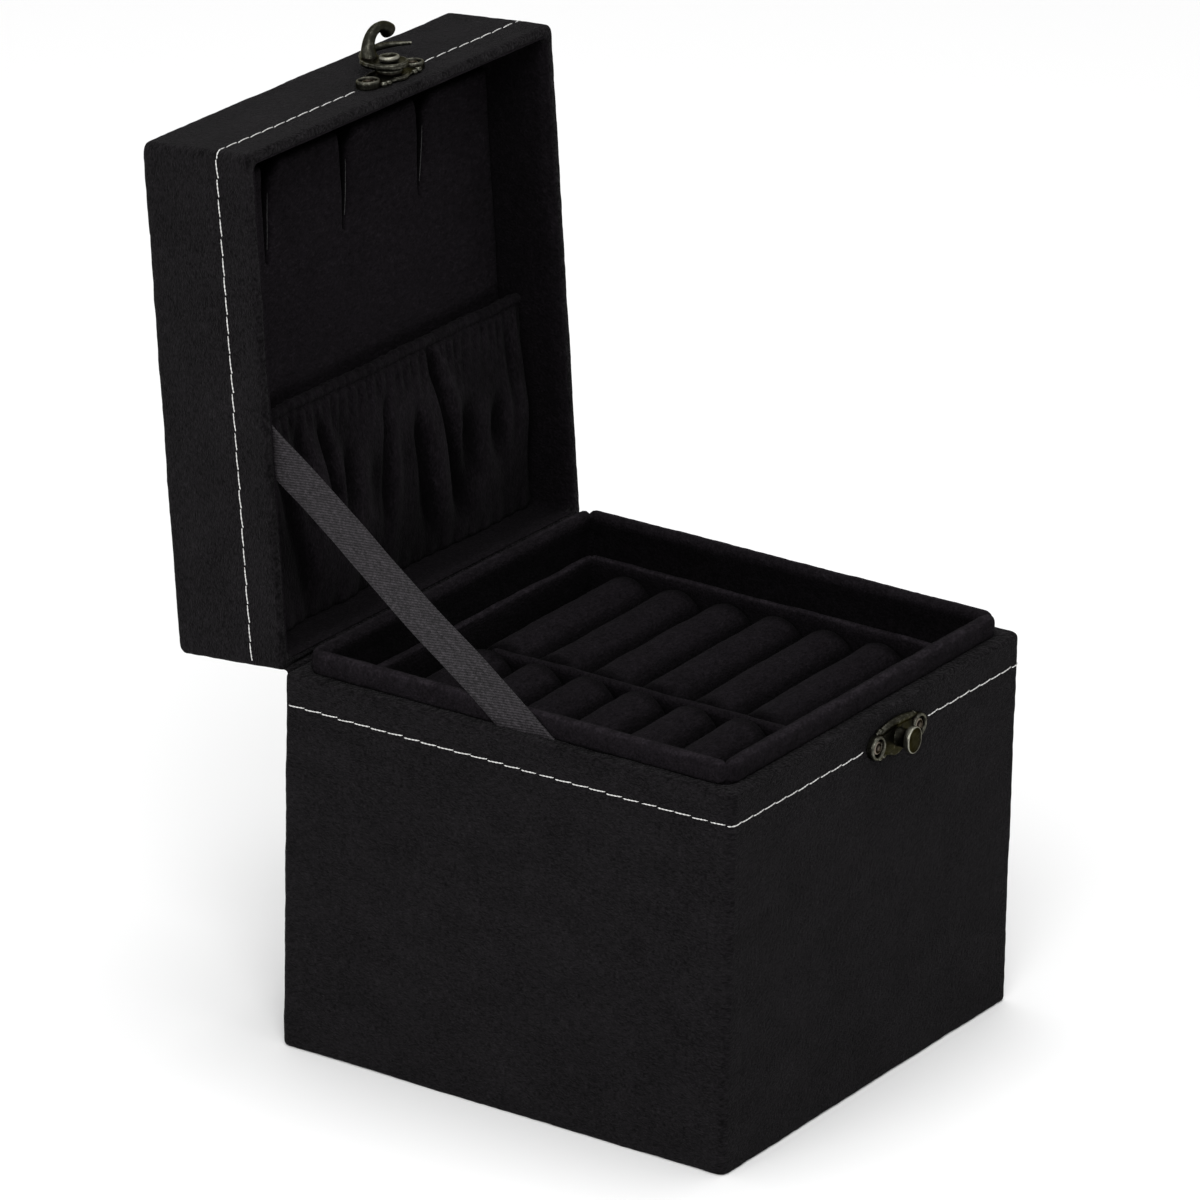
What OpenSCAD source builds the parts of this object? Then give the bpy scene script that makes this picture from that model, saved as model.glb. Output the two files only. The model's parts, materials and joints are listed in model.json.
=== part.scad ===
// Square jewelry box: a padded case with two lift-out trays, and a deep lid with a necklace panel and a pocket.
// The origin is the centre of the case's underside. +X is right, -Y is the front with the latch, +Z is up.
// The lid is modelled shut in its own frame, with its hinge line at y = 0 and z = 0, and then swung open.

/* [Case] */
// Outer width and depth of the case and the lid
case_w = 120; // [116:1:124]
// Height of the case up to the ledge that the lid closes on
case_h = 91; // [89:0.5:93]
// Thickness of the suede cover with its backing
suede_t = 1; // [0.8:0.1:1.2]
// Thickness of the case boards
board_t = 3; // [2.6:0.1:3.2]
// How far the padded liner stands above the ledge
rim_rise = 4.5; // [3:0.5:6]
// Thickness of the padded liner boards
liner_t = 2.5; // [2:0.1:2.8]

/* [Lid] */
// Height of the lid
lid_h = 29.5; // [29:0.5:32]
// Thickness of the boards in the lid's walls
lid_wall_board = 1.5; // [1.2:0.1:1.5]
// Thickness of the board in the lid's top
lid_top_board = 2.5; // [2:0.1:2.5]
// Thickness of the velvet lining in the lid
lining_t = 0.5; // [0.4:0.1:0.6]
// Angle that the lid is open by, measured from shut
lid_angle = 95.14; // [92:0.01:98]
// Depth of the necklace panel's face below the lid's rim
panel_depth = 17.2; // [16:0.1:18]
// Thickness of the necklace panel
panel_t = 4.5; // [4:0.1:5]
// Width of each slit that a necklace chain slips into
slit_w = 1.6; // [1.2:0.1:2]
// Height of the gathered pocket, from the lid's back wall to its elastic edge
pocket_h = 52; // [45:1:60]

/* [Trays] */
// Gap between a tray and the liner on each side
tray_gap = 0.6; // [0.4:0.1:1]
// Thickness of the trays' walls and floors
tray_t = 2; // [1.6:0.1:2.4]
// Height of the ring tray
top_tray_h = 19.7; // [18:0.1:21]
// Height of the lower tray
lower_tray_h = 32.7; // [30:0.1:33]
// Height of the rails that carry the lower tray, above the base pad
rail_h = 28; // [24:1:30]
// Width of each ring roll, which is also the diameter of its round top
roll_d = 13.5; // [12.6:0.1:13.7]
// Distance from one ring roll to the next
roll_pitch = 13.9; // [13.8:0.1:14]
// Number of ring rolls in each row
roll_count = 7; // [5:1:7]
// Place of the divider across the ring tray, from the centre
divider_x = -4.5; // [-8:0.5:8]

/* [Latch] */
// Place of the latch across the front, from the centre
latch_x = 5.6; // [-10:0.1:10]
// Height of the catch post above the case's underside
catch_z = 83.7; // [83:0.1:85]
// Distance from the hook's rivet to the catch post when latched
hook_reach = 15; // [14.8:0.1:15.2]
// Distance between the two nails of each plate
nail_spacing = 17.2; // [16:0.1:18]
// Thickness of the latch plates
plate_t = 1.4; // [1:0.1:1.4]
// Radius of the catch post's neck
neck_r = 1.7; // [1.5:0.1:1.7]

/* [Stitching and ribbon] */
// Distance from the ledge down to the case's line of stitches
case_stitch_drop = 7.4; // [6:0.1:9]
// Distance from the lid's rim to its line of stitches
lid_stitch_drop = 8.6; // [7:0.1:10]
// Distance from one stitch to the next
stitch_pitch = 4.5; // [4:0.1:6]
// Width of the ribbon that holds the lid
ribbon_w = 9.3; // [8:0.1:12]
// Thickness of the ribbon
ribbon_t = 0.6; // [0.4:0.1:0.8]

/* [Hidden] */
// Smoothness of round parts
$fn = 48;
// Smallest gap that keeps two neighbouring solids apart
seam = 0.05;
// Amount by which a cut runs past the face that it opens
past = 1;

// Half of the outer width, and the ledge's inner edge
half_w = case_w / 2;
ledge_in = half_w - suede_t - board_t;
// Inner face of the padded liner
liner_in = ledge_in - liner_t;
// Levels inside the case, from the bottom up
floor_top = suede_t + board_t;
pad_top = floor_top + 2;
rail_top = pad_top + rail_h;
lower_tray_z = rail_top + seam;
top_tray_z = lower_tray_z + lower_tray_h + seam;
liner_top = case_h + rim_rise;
// Outer and inner half width of the trays
tray_out = liner_in - tray_gap;
tray_in = tray_out - tray_t;
// Thickness of the rails that carry the lower tray
rail_t = 2.2;

// Faces inside the lid
lid_board_in = half_w - suede_t - lid_wall_board;
lid_in = lid_board_in - lining_t;
lid_board_top = lid_h - suede_t;
lid_board_under = lid_board_top - lid_top_board;
lining_under = lid_board_under - lining_t;
panel_back = panel_depth + panel_t;
// Edge of the necklace panel nearest the lid's front, as a distance from the hinge line
panel_end = 108;
// How far a slit runs into the panel, how far it leans, and how far apart the slits are
slit_l = 18;
slit_lean = 4;
slit_step = 30;
// The pocket's thickness, its gap to the panel, and its elastic cord's radius
pocket_t = 1.2;
pocket_gap = 3.6;
elastic_r = 1.2;
// How far the cloth hinge reaches down the case and along the lid's back wall
hinge_down = 15;
hinge_along = 15;

// Centre of the hook's rivet above the lid's rim
pivot_z = catch_z + hook_reach - case_h;
// The rivet's radius and its running clearance in the hook
rivet_r = 1.6;
rivet_play = 0.05;
// Heights of the latch parts above the suede
boss_top = 2.65;
hook_under = 2.7;
hook_top = 4.2;
cap_under = 4.5;
cap_top = 5.9;
nail_r = 0.6;
nail_play = 0.05;
nail_head_r = 2.2;
nail_head_t = 0.8;
// How deep a nail goes below the suede's face in the case and in the lid
case_nail_depth = 3;
lid_nail_depth = 2.2;

// The ring divider's thickness, top and back end, and how its rolls stand clear of it
divider_t = 2.4;
divider_top = 83.7;
divider_end = 41;
divider_play = 0.3;

// Place of the back row of ring rolls, and the top of every roll
first_roll_y = 40.1;
roll_top = 83.8;

// Angle of the ribbon to the horizontal, and where its centre line leaves the ledge
ribbon_slope = 36.25;
ribbon_y = -3.4;
// How far the ribbon runs up the inside of the lid's wall
ribbon_tuck = 5;

// Puts a piece drawn in the lid's shut frame where the open lid is
module on_lid() {
    translate([0, half_w, case_h]) rotate([-lid_angle, 0, 0]) children();
}

// Puts a piece drawn with its front towards +Z on the case's front face, at the catch
module on_case_front() {
    translate([latch_x, -half_w, catch_z]) rotate([90, 0, 0]) children();
}

// Puts a piece drawn with its front towards +Z on the lid's front face, at the hook's rivet
module on_lid_front() {
    on_lid() translate([latch_x, -case_w, pivot_z]) rotate([90, 0, 0]) children();
}

// A block given by its lowest and highest corners
module block(low, high) {
    translate(low) cube(high - low);
}

// A padded board with a rounded top edge, along X, standing on z = 0
module padded_board(length, thick, height) {
    rotate([90, 0, 90]) linear_extrude(length, center = true) {
        translate([-thick / 2, 0]) square([thick, height - thick / 2]);
        translate([0, height - thick / 2]) circle(thick / 2);
    }
}

// Holes for the two nails of a latch plate, drilled down from the suede's face
module nail_holes(depth) {
    for (s = [-1, 1])
        translate([s * nail_spacing / 2, 0, -depth])
            cylinder(depth + plate_t + past, nail_r + nail_play, nail_r + nail_play);
}

// Two nails with round heads, for one latch plate
module nail_pair(depth) {
    for (s = [-1, 1])
        translate([s * nail_spacing / 2, 0, 0]) {
            translate([0, 0, -depth]) cylinder(depth + plate_t, nail_r, nail_r);
            translate([0, 0, plate_t]) cylinder(nail_head_t, nail_head_r, nail_head_r);
        }
}

// Latch plate with two round ears, a wider middle and a hole for its post or rivet
module latch_plate(hole_r, boss) {
    difference() {
        union() {
            linear_extrude(plate_t) {
                circle(5);
                square([nail_spacing, 4.6], center = true);
                for (s = [-1, 1])
                    translate([s * nail_spacing / 2, 0]) circle(3.7);
            }
            cylinder(boss, 3.4, 3.4);
        }
        translate([0, 0, -past]) cylinder(boss + 2 * past, hole_r, hole_r);
        nail_holes(past);
    }
}

// A straight row of stitches along X on the face z = 0, leaving out what lies under a plate
module stitch_row(length, gap_from, gap_to) {
    n = floor((length - stitch_pitch) / stitch_pitch);
    stitch_l = stitch_pitch - 1;
    for (k = [0:n]) {
        x = (k - n / 2) * stitch_pitch;
        if (x < gap_from || x > gap_to)
            translate([x, 0, 0.2]) rotate([0, 0, 6]) cube([stitch_l, 0.55, 0.4], center = true);
    }
}

// Stitch rows along the front and both sides of a box, at one height
module stitch_lines(height) {
    reach = nail_spacing / 2 + 4.5 + stitch_pitch / 2;
    translate([0, -half_w, height]) rotate([90, 0, 0])
        stitch_row(case_w, latch_x - reach, latch_x + reach);
    for (s = [-1, 1])
        translate([s * half_w, 0, height]) rotate([90, 0, s * 90]) stitch_row(case_w, 1, -1);
}

module bottom_sheet() {
    color("black") block([1 - half_w, 1 - half_w, 0], [half_w - 1, half_w - 1, suede_t]);
}

module floor_board() {
    reach = half_w - suede_t;
    color("tan") block([-reach, -reach, suede_t], [reach, reach, floor_top]);
}

module front_board() {
    reach = half_w - suede_t;
    color("tan") difference() {
        block([-reach, -reach, floor_top], [reach, -ledge_in, case_h - suede_t]);
        on_case_front() nail_holes(case_nail_depth);
    }
}

module back_board() {
    reach = half_w - suede_t;
    color("tan") block([-reach, ledge_in, floor_top], [reach, reach, case_h - suede_t]);
}

module left_board() {
    color("tan") block([suede_t - half_w, -ledge_in, floor_top], [-ledge_in, ledge_in, case_h - suede_t]);
}

module right_board() {
    color("tan") block([ledge_in, -ledge_in, floor_top], [half_w - suede_t, ledge_in, case_h - suede_t]);
}

// Suede round the four sides of the case, turned in over the boards to make the ledge
module case_suede() {
    reach = half_w - suede_t;
    color("#1b1b1b") difference() {
        block([-half_w, -half_w, 0], [half_w, half_w, case_h]);
        block([-reach, -reach, -past], [reach, reach, case_h - suede_t]);
        block([-ledge_in, -ledge_in, 0], [ledge_in, ledge_in, case_h + past]);
        block([-reach, reach, case_h - hinge_down], [reach, half_w + past, case_h + past]);
        on_case_front() nail_holes(case_nail_depth);
    }
}

module case_stitching() {
    color("white") stitch_lines(case_h - case_stitch_drop);
}

// One strip of suede from the case's back up on to the lid's back wall, bent at the hinge line
module hinge_cloth() {
    foot = case_h - hinge_down;
    inside = half_w - suede_t;
    // A point of the lid's shut frame, given from the hinge line, as a point of the open box
    function opened(y, z) = [half_w + y * cos(lid_angle) + z * sin(lid_angle),
                             case_h - y * sin(lid_angle) + z * cos(lid_angle)];
    color("#1b1b1b") rotate([90, 0, 90]) linear_extrude(2 * (inside - seam), center = true)
        polygon([[inside, foot], [half_w, foot], [half_w, case_h], opened(0, hinge_along),
                 opened(-suede_t, hinge_along), opened(-suede_t, 0),
                 [inside + 0.2, case_h + 0.8], [inside, case_h]]);
}

// Padded liner board, standing on the floor board and rising above the ledge
module liner_board(length) {
    color("#101010") translate([0, 0, floor_top]) padded_board(length, liner_t, liner_top - floor_top);
}

module liner_front() {
    translate([0, -(ledge_in + liner_in) / 2, 0]) liner_board(2 * ledge_in);
}

module liner_back() {
    translate([0, (ledge_in + liner_in) / 2, 0]) liner_board(2 * ledge_in);
}

module liner_left() {
    translate([-(ledge_in + liner_in) / 2, 0, 0]) rotate([0, 0, 90]) liner_board(2 * liner_in - 2 * seam);
}

module liner_right() {
    translate([(ledge_in + liner_in) / 2, 0, 0]) rotate([0, 0, 90]) liner_board(2 * liner_in - 2 * seam);
}

module base_pad() {
    reach = liner_in - seam;
    color("#101010") block([-reach, -reach, floor_top], [reach, reach, pad_top]);
}

// Four low padded strips round the base compartment, which the lower tray stands on
module tray_rails() {
    reach = liner_in - seam;
    inner = reach - rail_t;
    color("#101010") {
        for (s = [-1, 1]) {
            translate([s * (reach + inner) / 2, 0, (pad_top + rail_top) / 2])
                cube([rail_t, 2 * reach, rail_h], center = true);
            translate([0, s * (reach + inner) / 2, (pad_top + rail_top) / 2])
                cube([2 * (inner - seam), rail_t, rail_h], center = true);
        }
    }
}

module catch_plate() {
    color("#5a5238") on_case_front() latch_plate(neck_r + 0.02, plate_t);
}

// Riveted neck with an oval head that the hook passes behind
module catch_post() {
    color("#6b6246") on_case_front() {
        cylinder(cap_top - 0.2, neck_r, neck_r);
        translate([0, 0.3, cap_under]) linear_extrude(cap_top - cap_under)
            union() {
                translate([0, 0.5]) circle(2.8);
                translate([0, -0.5]) circle(2.8);
                square([5.6, 1], center = true);
            }
    }
}

module catch_nails() {
    color("#4a432e") on_case_front() nail_pair(case_nail_depth);
}

// Ribbon along the left side, from under the ledge to the inside of the lid's left wall
module lid_ribbon() {
    half_foot = ribbon_w / 2 / sin(ribbon_slope);
    lean = lid_angle - 90;
    // Height above the hinge line at which a line from the ledge meets the lid's rim
    function rise(y) = (half_w - y) * sin(ribbon_slope) * cos(lean) / cos(ribbon_slope + lean);
    function rim_point(y) = [half_w + rise(y) * tan(lean), case_h + rise(y)];
    tuck = [ribbon_tuck * cos(lean), -ribbon_tuck * sin(lean)];
    low = rim_point(ribbon_y + half_foot);
    high = rim_point(ribbon_y - half_foot);
    color("#2c2c2c") translate([seam - lid_in, 0, 0]) rotate([90, 0, 90]) linear_extrude(ribbon_t)
        polygon([[ribbon_y - half_foot, case_h + seam], [ribbon_y + half_foot, case_h + seam],
                 low, low + tuck, high + tuck, high]);
}

module lid_top_board() {
    reach = half_w - suede_t;
    color("tan") on_lid()
        block([-reach, suede_t - case_w, lid_board_under], [reach, -suede_t, lid_board_top]);
}

module lid_front_board() {
    reach = half_w - suede_t;
    color("tan") difference() {
        on_lid() block([-reach, suede_t - case_w, suede_t],
                       [reach, suede_t - case_w + lid_wall_board, lid_board_under]);
        on_lid_front() nail_holes(lid_nail_depth);
    }
}

module lid_back_board() {
    reach = half_w - suede_t;
    color("tan") on_lid()
        block([-reach, -suede_t - lid_wall_board, suede_t], [reach, -suede_t, lid_board_under]);
}

// Board in one side wall of the lid, drawn for the right
module lid_side_board() {
    color("tan") block([lid_board_in, -half_w - lid_board_in, suede_t],
                       [half_w - suede_t, -half_w + lid_board_in, lid_board_under]);
}

module lid_left_board() {
    on_lid() mirror([1, 0, 0]) lid_side_board();
}

module lid_right_board() {
    on_lid() lid_side_board();
}

// Suede over the lid's top and sides, turned in over the boards at the rim
module lid_suede() {
    reach = half_w - suede_t;
    color("#1b1b1b") difference() {
        on_lid() difference() {
            block([-half_w, -case_w, 0], [half_w, 0, lid_h]);
            block([-reach, suede_t - case_w, suede_t], [reach, -suede_t, lid_board_top]);
            block([-lid_board_in, -half_w - lid_board_in, -past], [lid_board_in, -half_w + lid_board_in, 2]);
            block([-reach, -suede_t, -past], [reach, past, hinge_along]);
        }
        on_lid_front() nail_holes(lid_nail_depth);
    }
}

module lid_stitching() {
    color("white") on_lid() translate([0, -half_w, 0]) stitch_lines(lid_stitch_drop);
}

// Velvet on the inside of the lid's walls and top
module lid_lining() {
    color("#101010") on_lid() translate([0, -half_w, 0]) difference() {
        block([-lid_board_in, -lid_board_in, 0], [lid_board_in, lid_board_in, lid_board_under]);
        block([-lid_in, -lid_in, -past], [lid_in, lid_in, lining_under]);
    }
}

// Three foam strips that hold the necklace panel off the lid's top
module panel_spacers() {
    reach = lid_in - seam;
    strip = 6;
    color("#303030") on_lid() {
        for (s = [-1, 1])
            translate([s * (reach - strip / 2), -(panel_end - strip) / 2 - strip, (panel_back + lining_under) / 2])
                cube([strip, panel_end - 2 * strip, lining_under - panel_back], center = true);
        block([-reach, -3 - strip + 2 * seam, panel_back], [reach, -3 - seam, lining_under]);
    }
}

// Padded panel with slits that run in from its front edge, for necklace chains
module necklace_panel() {
    reach = lid_in - seam;
    color("#101010") on_lid() difference() {
        block([-reach, -panel_end, panel_depth], [reach, -3 - seam, panel_back]);
        for (k = [-1:1])
            translate([k * slit_step - slit_lean / 2, -panel_end + slit_l / 2 - past, panel_back - panel_t / 2])
                rotate([0, 0, atan(slit_lean / slit_l)])
                    cube([slit_w, slit_l + 2 * past, panel_t + 2 * past], center = true);
    }
}

// Gathered cloth pocket across the lower half of the necklace panel
module pocket() {
    reach = lid_in - 2 * seam;
    face = panel_depth - pocket_gap;
    color("#0d0d0d") on_lid() block([-reach, -pocket_h, face - pocket_t], [reach, -3 - seam, face]);
}

// Elastic cord in the pocket's hem
module pocket_elastic() {
    color("#0d0d0d") on_lid()
        translate([0, -pocket_h - elastic_r - seam, panel_depth - pocket_gap - pocket_t / 2])
            rotate([0, 90, 0]) cylinder(2 * (lid_in - 2 * seam), elastic_r, elastic_r, center = true);
}

module hook_plate() {
    color("#5a5238") on_lid_front() latch_plate(rivet_r + 0.02, boss_top);
}

module hook_rivet() {
    color("#6b6246") on_lid_front() {
        cylinder(hook_top + seam, rivet_r, rivet_r);
        translate([0, 0, hook_top + seam]) cylinder(0.7, 2.35, 2.1);
    }
}

module hook_nails() {
    color("#4a432e") on_lid_front() nail_pair(lid_nail_depth);
}

// Crescent hook that turns on the rivet, with a curled horn to lift it by
module hook() {
    hook_t = hook_top - hook_under;
    horn_r = 5.1;
    horn_y = 7;
    color("#5f573c") on_lid_front() difference() {
        union() {
            translate([0, 0, hook_under]) {
                cylinder(hook_t, 4, 4);
                linear_extrude(hook_t) difference() {
                    translate([8, 2]) circle(10);
                    translate([8.4, 1.6]) circle(8.4);
                    translate([-4, -past - 20]) square([30, 20 + past]);
                    translate([8, -past]) square([12, 3 + past]);
                }
            }
            translate([6.3, horn_y, 4.6]) rotate([90, 0, 0]) rotate([0, 0, 47])
                rotate_extrude(angle = 138) translate([horn_r, 0]) circle(1.5, $fn = 32);
            translate([6.3 + horn_r * cos(47), horn_y, 4.6 + horn_r * sin(47)]) sphere(1.75);
        }
        cylinder(hook_top + past, rivet_r + rivet_play, rivet_r + rivet_play);
    }
}

// Four walls of a tray standing on its floor, as separate boards
module tray_walls(height) {
    wall_h = height - tray_t;
    middle = (tray_out + tray_in) / 2;
    for (s = [-1, 1]) {
        translate([0, s * middle, tray_t]) padded_board(2 * tray_out, tray_t, wall_h);
        translate([s * middle, 0, tray_t]) rotate([0, 0, 90])
            padded_board(2 * (tray_in - seam), tray_t, wall_h);
    }
}

module tray_floor() {
    block([-tray_out, -tray_out, 0], [tray_out, tray_out, tray_t]);
}

module top_tray_walls() {
    color("#0d0d0d") translate([0, 0, top_tray_z]) tray_walls(top_tray_h);
}

module top_tray_floor() {
    color("#0d0d0d") translate([0, 0, top_tray_z]) tray_floor();
}

// Loose padded strip between the two rows of ring rolls, with a free end at the back
module ring_divider() {
    bottom = top_tray_z + tray_t + seam;
    length = divider_end + tray_in - divider_play;
    color("#101010") translate([divider_x, divider_end - length / 2, bottom]) rotate([0, 0, 90])
        padded_board(length, divider_t, divider_top - bottom);
}

// One foam roll along X, with upright sides and a round top, standing on the ring tray's floor
module ring_roll(from_x, to_x, k) {
    r = roll_d / 2;
    floor_z = top_tray_z + tray_t + seam;
    rise = roll_top - r - floor_z;
    color("#131313") translate([from_x, first_roll_y - (k - 1) * roll_pitch, floor_z])
        rotate([90, 0, 90]) linear_extrude(to_x - from_x) {
            translate([0, rise]) circle(r);
            translate([-r, 0]) square([2 * r, rise]);
        }
}

module ring_roll_left(k) {
    ring_roll(-tray_in + seam, divider_x - divider_t / 2 - divider_play, k);
}

module ring_roll_right(k) {
    ring_roll(divider_x + divider_t / 2 + divider_play, tray_in - seam, k);
}

module lower_tray_walls() {
    color("#0d0d0d") translate([0, 0, lower_tray_z]) tray_walls(lower_tray_h);
}

module lower_tray_floor() {
    color("#0d0d0d") translate([0, 0, lower_tray_z]) tray_floor();
}

// Padded board across the middle of the lower tray
module lower_cross_divider() {
    color("#101010") translate([0, 0, lower_tray_z + tray_t])
        padded_board(2 * (tray_in - seam), tray_t, lower_tray_h - tray_t - 3);
}

// Two shorter boards that make four compartments of the lower tray
module lower_long_dividers() {
    length = tray_in - tray_t / 2 - 2 * seam;
    color("#101010") for (s = [-1, 1])
        translate([0, s * (tray_in + tray_t / 2) / 2, lower_tray_z + tray_t]) rotate([0, 0, 90])
            padded_board(length, tray_t, lower_tray_h - tray_t - 3);
}

bottom_sheet();
floor_board();
front_board();
back_board();
left_board();
right_board();
case_suede();
case_stitching();
hinge_cloth();
liner_front();
liner_back();
liner_left();
liner_right();
base_pad();
tray_rails();
catch_plate();
catch_post();
catch_nails();
lid_ribbon();
lid_top_board();
lid_front_board();
lid_back_board();
lid_left_board();
lid_right_board();
lid_suede();
lid_stitching();
lid_lining();
panel_spacers();
necklace_panel();
pocket();
pocket_elastic();
hook_plate();
hook_rivet();
hook_nails();
hook();
top_tray_walls();
top_tray_floor();
ring_divider();
lower_tray_walls();
lower_tray_floor();
lower_cross_divider();
lower_long_dividers();
for (k = [1:roll_count]) {
    ring_roll_left(k);
    ring_roll_right(k);
}
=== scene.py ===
"""Looks of a square suede jewelry box with an open lid, two lift-out trays and a ribbon stay.

Shapes are drawn in millimetres in one of these frames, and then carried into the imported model's in metres:
the case's own, the lid's as it lies when shut (hinge line at y = 0, z = 0), and one on each latch face.
"""

import json
import random
from math import ceil, copysign, cos, exp, hypot, pi, radians, sin, sqrt, tan

import bmesh
import bpy
from mathutils import Matrix, Vector, noise


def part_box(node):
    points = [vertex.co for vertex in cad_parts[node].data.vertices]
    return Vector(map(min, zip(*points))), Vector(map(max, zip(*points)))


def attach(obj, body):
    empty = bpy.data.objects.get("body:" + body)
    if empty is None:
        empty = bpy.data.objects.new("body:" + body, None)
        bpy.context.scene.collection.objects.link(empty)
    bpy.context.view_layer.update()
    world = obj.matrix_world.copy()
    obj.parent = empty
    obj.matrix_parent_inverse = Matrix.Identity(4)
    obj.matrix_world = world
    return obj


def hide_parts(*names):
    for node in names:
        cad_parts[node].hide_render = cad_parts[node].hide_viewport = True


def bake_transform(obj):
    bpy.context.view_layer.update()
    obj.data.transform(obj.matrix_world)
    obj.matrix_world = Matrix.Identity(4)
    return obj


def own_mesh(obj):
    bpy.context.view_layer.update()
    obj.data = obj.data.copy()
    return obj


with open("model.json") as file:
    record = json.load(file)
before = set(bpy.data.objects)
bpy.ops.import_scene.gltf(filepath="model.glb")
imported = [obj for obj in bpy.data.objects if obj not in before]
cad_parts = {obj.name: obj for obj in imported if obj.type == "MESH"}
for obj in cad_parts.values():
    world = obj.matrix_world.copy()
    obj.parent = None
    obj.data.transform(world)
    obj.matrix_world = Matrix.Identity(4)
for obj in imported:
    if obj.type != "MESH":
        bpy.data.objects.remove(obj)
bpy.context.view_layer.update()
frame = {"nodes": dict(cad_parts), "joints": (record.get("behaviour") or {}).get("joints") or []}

MM = 0.001
TO_METRES = Matrix.Scale(MM, 4)


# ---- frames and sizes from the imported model

def joint(name):
    return next(j for j in frame["joints"] if j["name"] == name)


def box_mm(node):
    """Lowest and highest corner of a CAD node, in millimetres."""
    low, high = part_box(node)
    return low / MM, high / MM


HINGE = joint("lid_hinge")
HINGE_POINT = Vector(HINGE["pos_m"]) / MM
LID_ANGLE = radians(HINGE["range_deg"][0])
CASE = Matrix.Identity(4)
LID = Matrix.Translation(HINGE_POINT) @ Matrix.Rotation(LID_ANGLE, 4, "X")
STAND_UP = Matrix.Rotation(pi / 2, 4, "X")

LINER_LOW, LINER_HIGH = box_mm("liner_back")
PAD_LOW, PAD_HIGH = box_mm("base_pad")
TRAY_LOW, TRAY_HIGH = box_mm("top_tray_floor")
HALF = box_mm("case_suede")[1].x
CASE_H = box_mm("case_suede")[1].z
LEDGE_IN = LINER_HIGH.y
LINER_TOP = LINER_HIGH.z
LINER_IN = LINER_LOW.y
LID_MIDDLE = LID @ Matrix.Translation((0, -HALF, 0))
PAD_TOP = PAD_HIGH.z
FLOOR_TOP = PAD_LOW.z
TRAY_OUT = TRAY_HIGH.x
TRAY_T = TRAY_HIGH.z - TRAY_LOW.z

# Sizes of the lid and of what lies in it, in the lid's frame
LID_H = 29.5
LID_RIM = 2.5
LINING_OUT = 57.5
LINING_UNDER = 25.5
PANEL_FACE = 17.2
PANEL_BACK = 21.7
PANEL_END = -108.0
PANEL_START = -3.05
PANEL_HALF = 56.95
POCKET_HEM = -53.2

STITCH_PITCH = 4.5
CASE_STITCH_Z = CASE_H - 7.4
LID_STITCH_Z = 8.6
CORNER_R = 2.0

LATCH_X = (box_mm("catch_post")[0].x + box_mm("catch_post")[1].x) / 2
CATCH_Z = box_mm("catch_plate")[0].z + 5.0
PIVOT = Vector(joint("hook_swing")["pos_m"]) / MM
PIVOT_V = (LID.inverted() @ PIVOT).z
ON_CASE_FRONT = Matrix.Translation((LATCH_X, -HALF, CATCH_Z)) @ STAND_UP
ON_LID_FRONT = LID @ Matrix.Translation((LATCH_X, -2 * HALF, PIVOT_V)) @ STAND_UP
NAIL_SPACING = 17.2
PLATE_REACH = NAIL_SPACING / 2 + 4.5


# ---- camera, stage and lights

MIDDLE = Vector((0, 0, 0.1))
AZIMUTH = radians(-56.645)
ELEVATION = radians(21.476)
ROLL = radians(1.2248)
DISTANCE = 1.99117
SHIFT_RIGHT = -0.012608
SHIFT_UP = 0.003394
LENS_MM = 265.44


def camera():
    back = Vector((sin(AZIMUTH) * cos(ELEVATION), -cos(AZIMUTH) * cos(ELEVATION), sin(ELEVATION)))
    across = (-back).cross(Vector((0, 0, 1))).normalized()
    up = across.cross(-back)
    right = cos(ROLL) * across + sin(ROLL) * up
    top = -sin(ROLL) * across + cos(ROLL) * up
    place = MIDDLE + back * DISTANCE + right * SHIFT_RIGHT + top * SHIFT_UP
    data = bpy.data.cameras.new("camera")
    data.sensor_width = 36
    data.lens = LENS_MM
    data.clip_start = 0.1
    data.clip_end = 20
    view = bpy.data.objects.new("camera", data)
    view.matrix_world = Matrix.Translation(place) @ Matrix((right, top, back)).transposed().to_4x4()
    bpy.context.scene.collection.objects.link(view)
    bpy.context.scene.camera = view


def area_light(name, place, size, watts):
    """A soft disk lamp that faces the object."""
    data = bpy.data.lights.new(name, "AREA")
    data.shape = "DISK"
    data.size = size
    data.energy = watts
    light = bpy.data.objects.new(name, data)
    light.location = place
    light.rotation_euler = (Vector(place) - MIDDLE).to_track_quat("Z", "Y").to_euler()
    bpy.context.scene.collection.objects.link(light)


def studio():
    scene = bpy.context.scene
    scene.view_settings.view_transform = "Standard"
    scene.world = bpy.data.worlds.new("studio")
    scene.world.use_nodes = True
    sky = scene.world.node_tree.nodes["Background"]
    sky.inputs["Color"].default_value = (1, 1, 1, 1)
    sky.inputs["Strength"].default_value = 0.75
    area_light("key", (-1.1, -0.65, 1.3), 0.9, 15)
    area_light("left", (-1.6, 0.2, 0.7), 0.9, 8)
    area_light("top", (0.3, 0.1, 1.9), 1.0, 10)
    bpy.ops.mesh.primitive_plane_add(size=8, location=(0, 0, -0.0002))
    floor = bpy.context.object
    floor.name = "floor"
    floor.data.materials.append(Nodes("floor", Base_Color=(0.86, 0.86, 0.86, 1), Roughness=0.9).material)


# ---- materials

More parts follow.
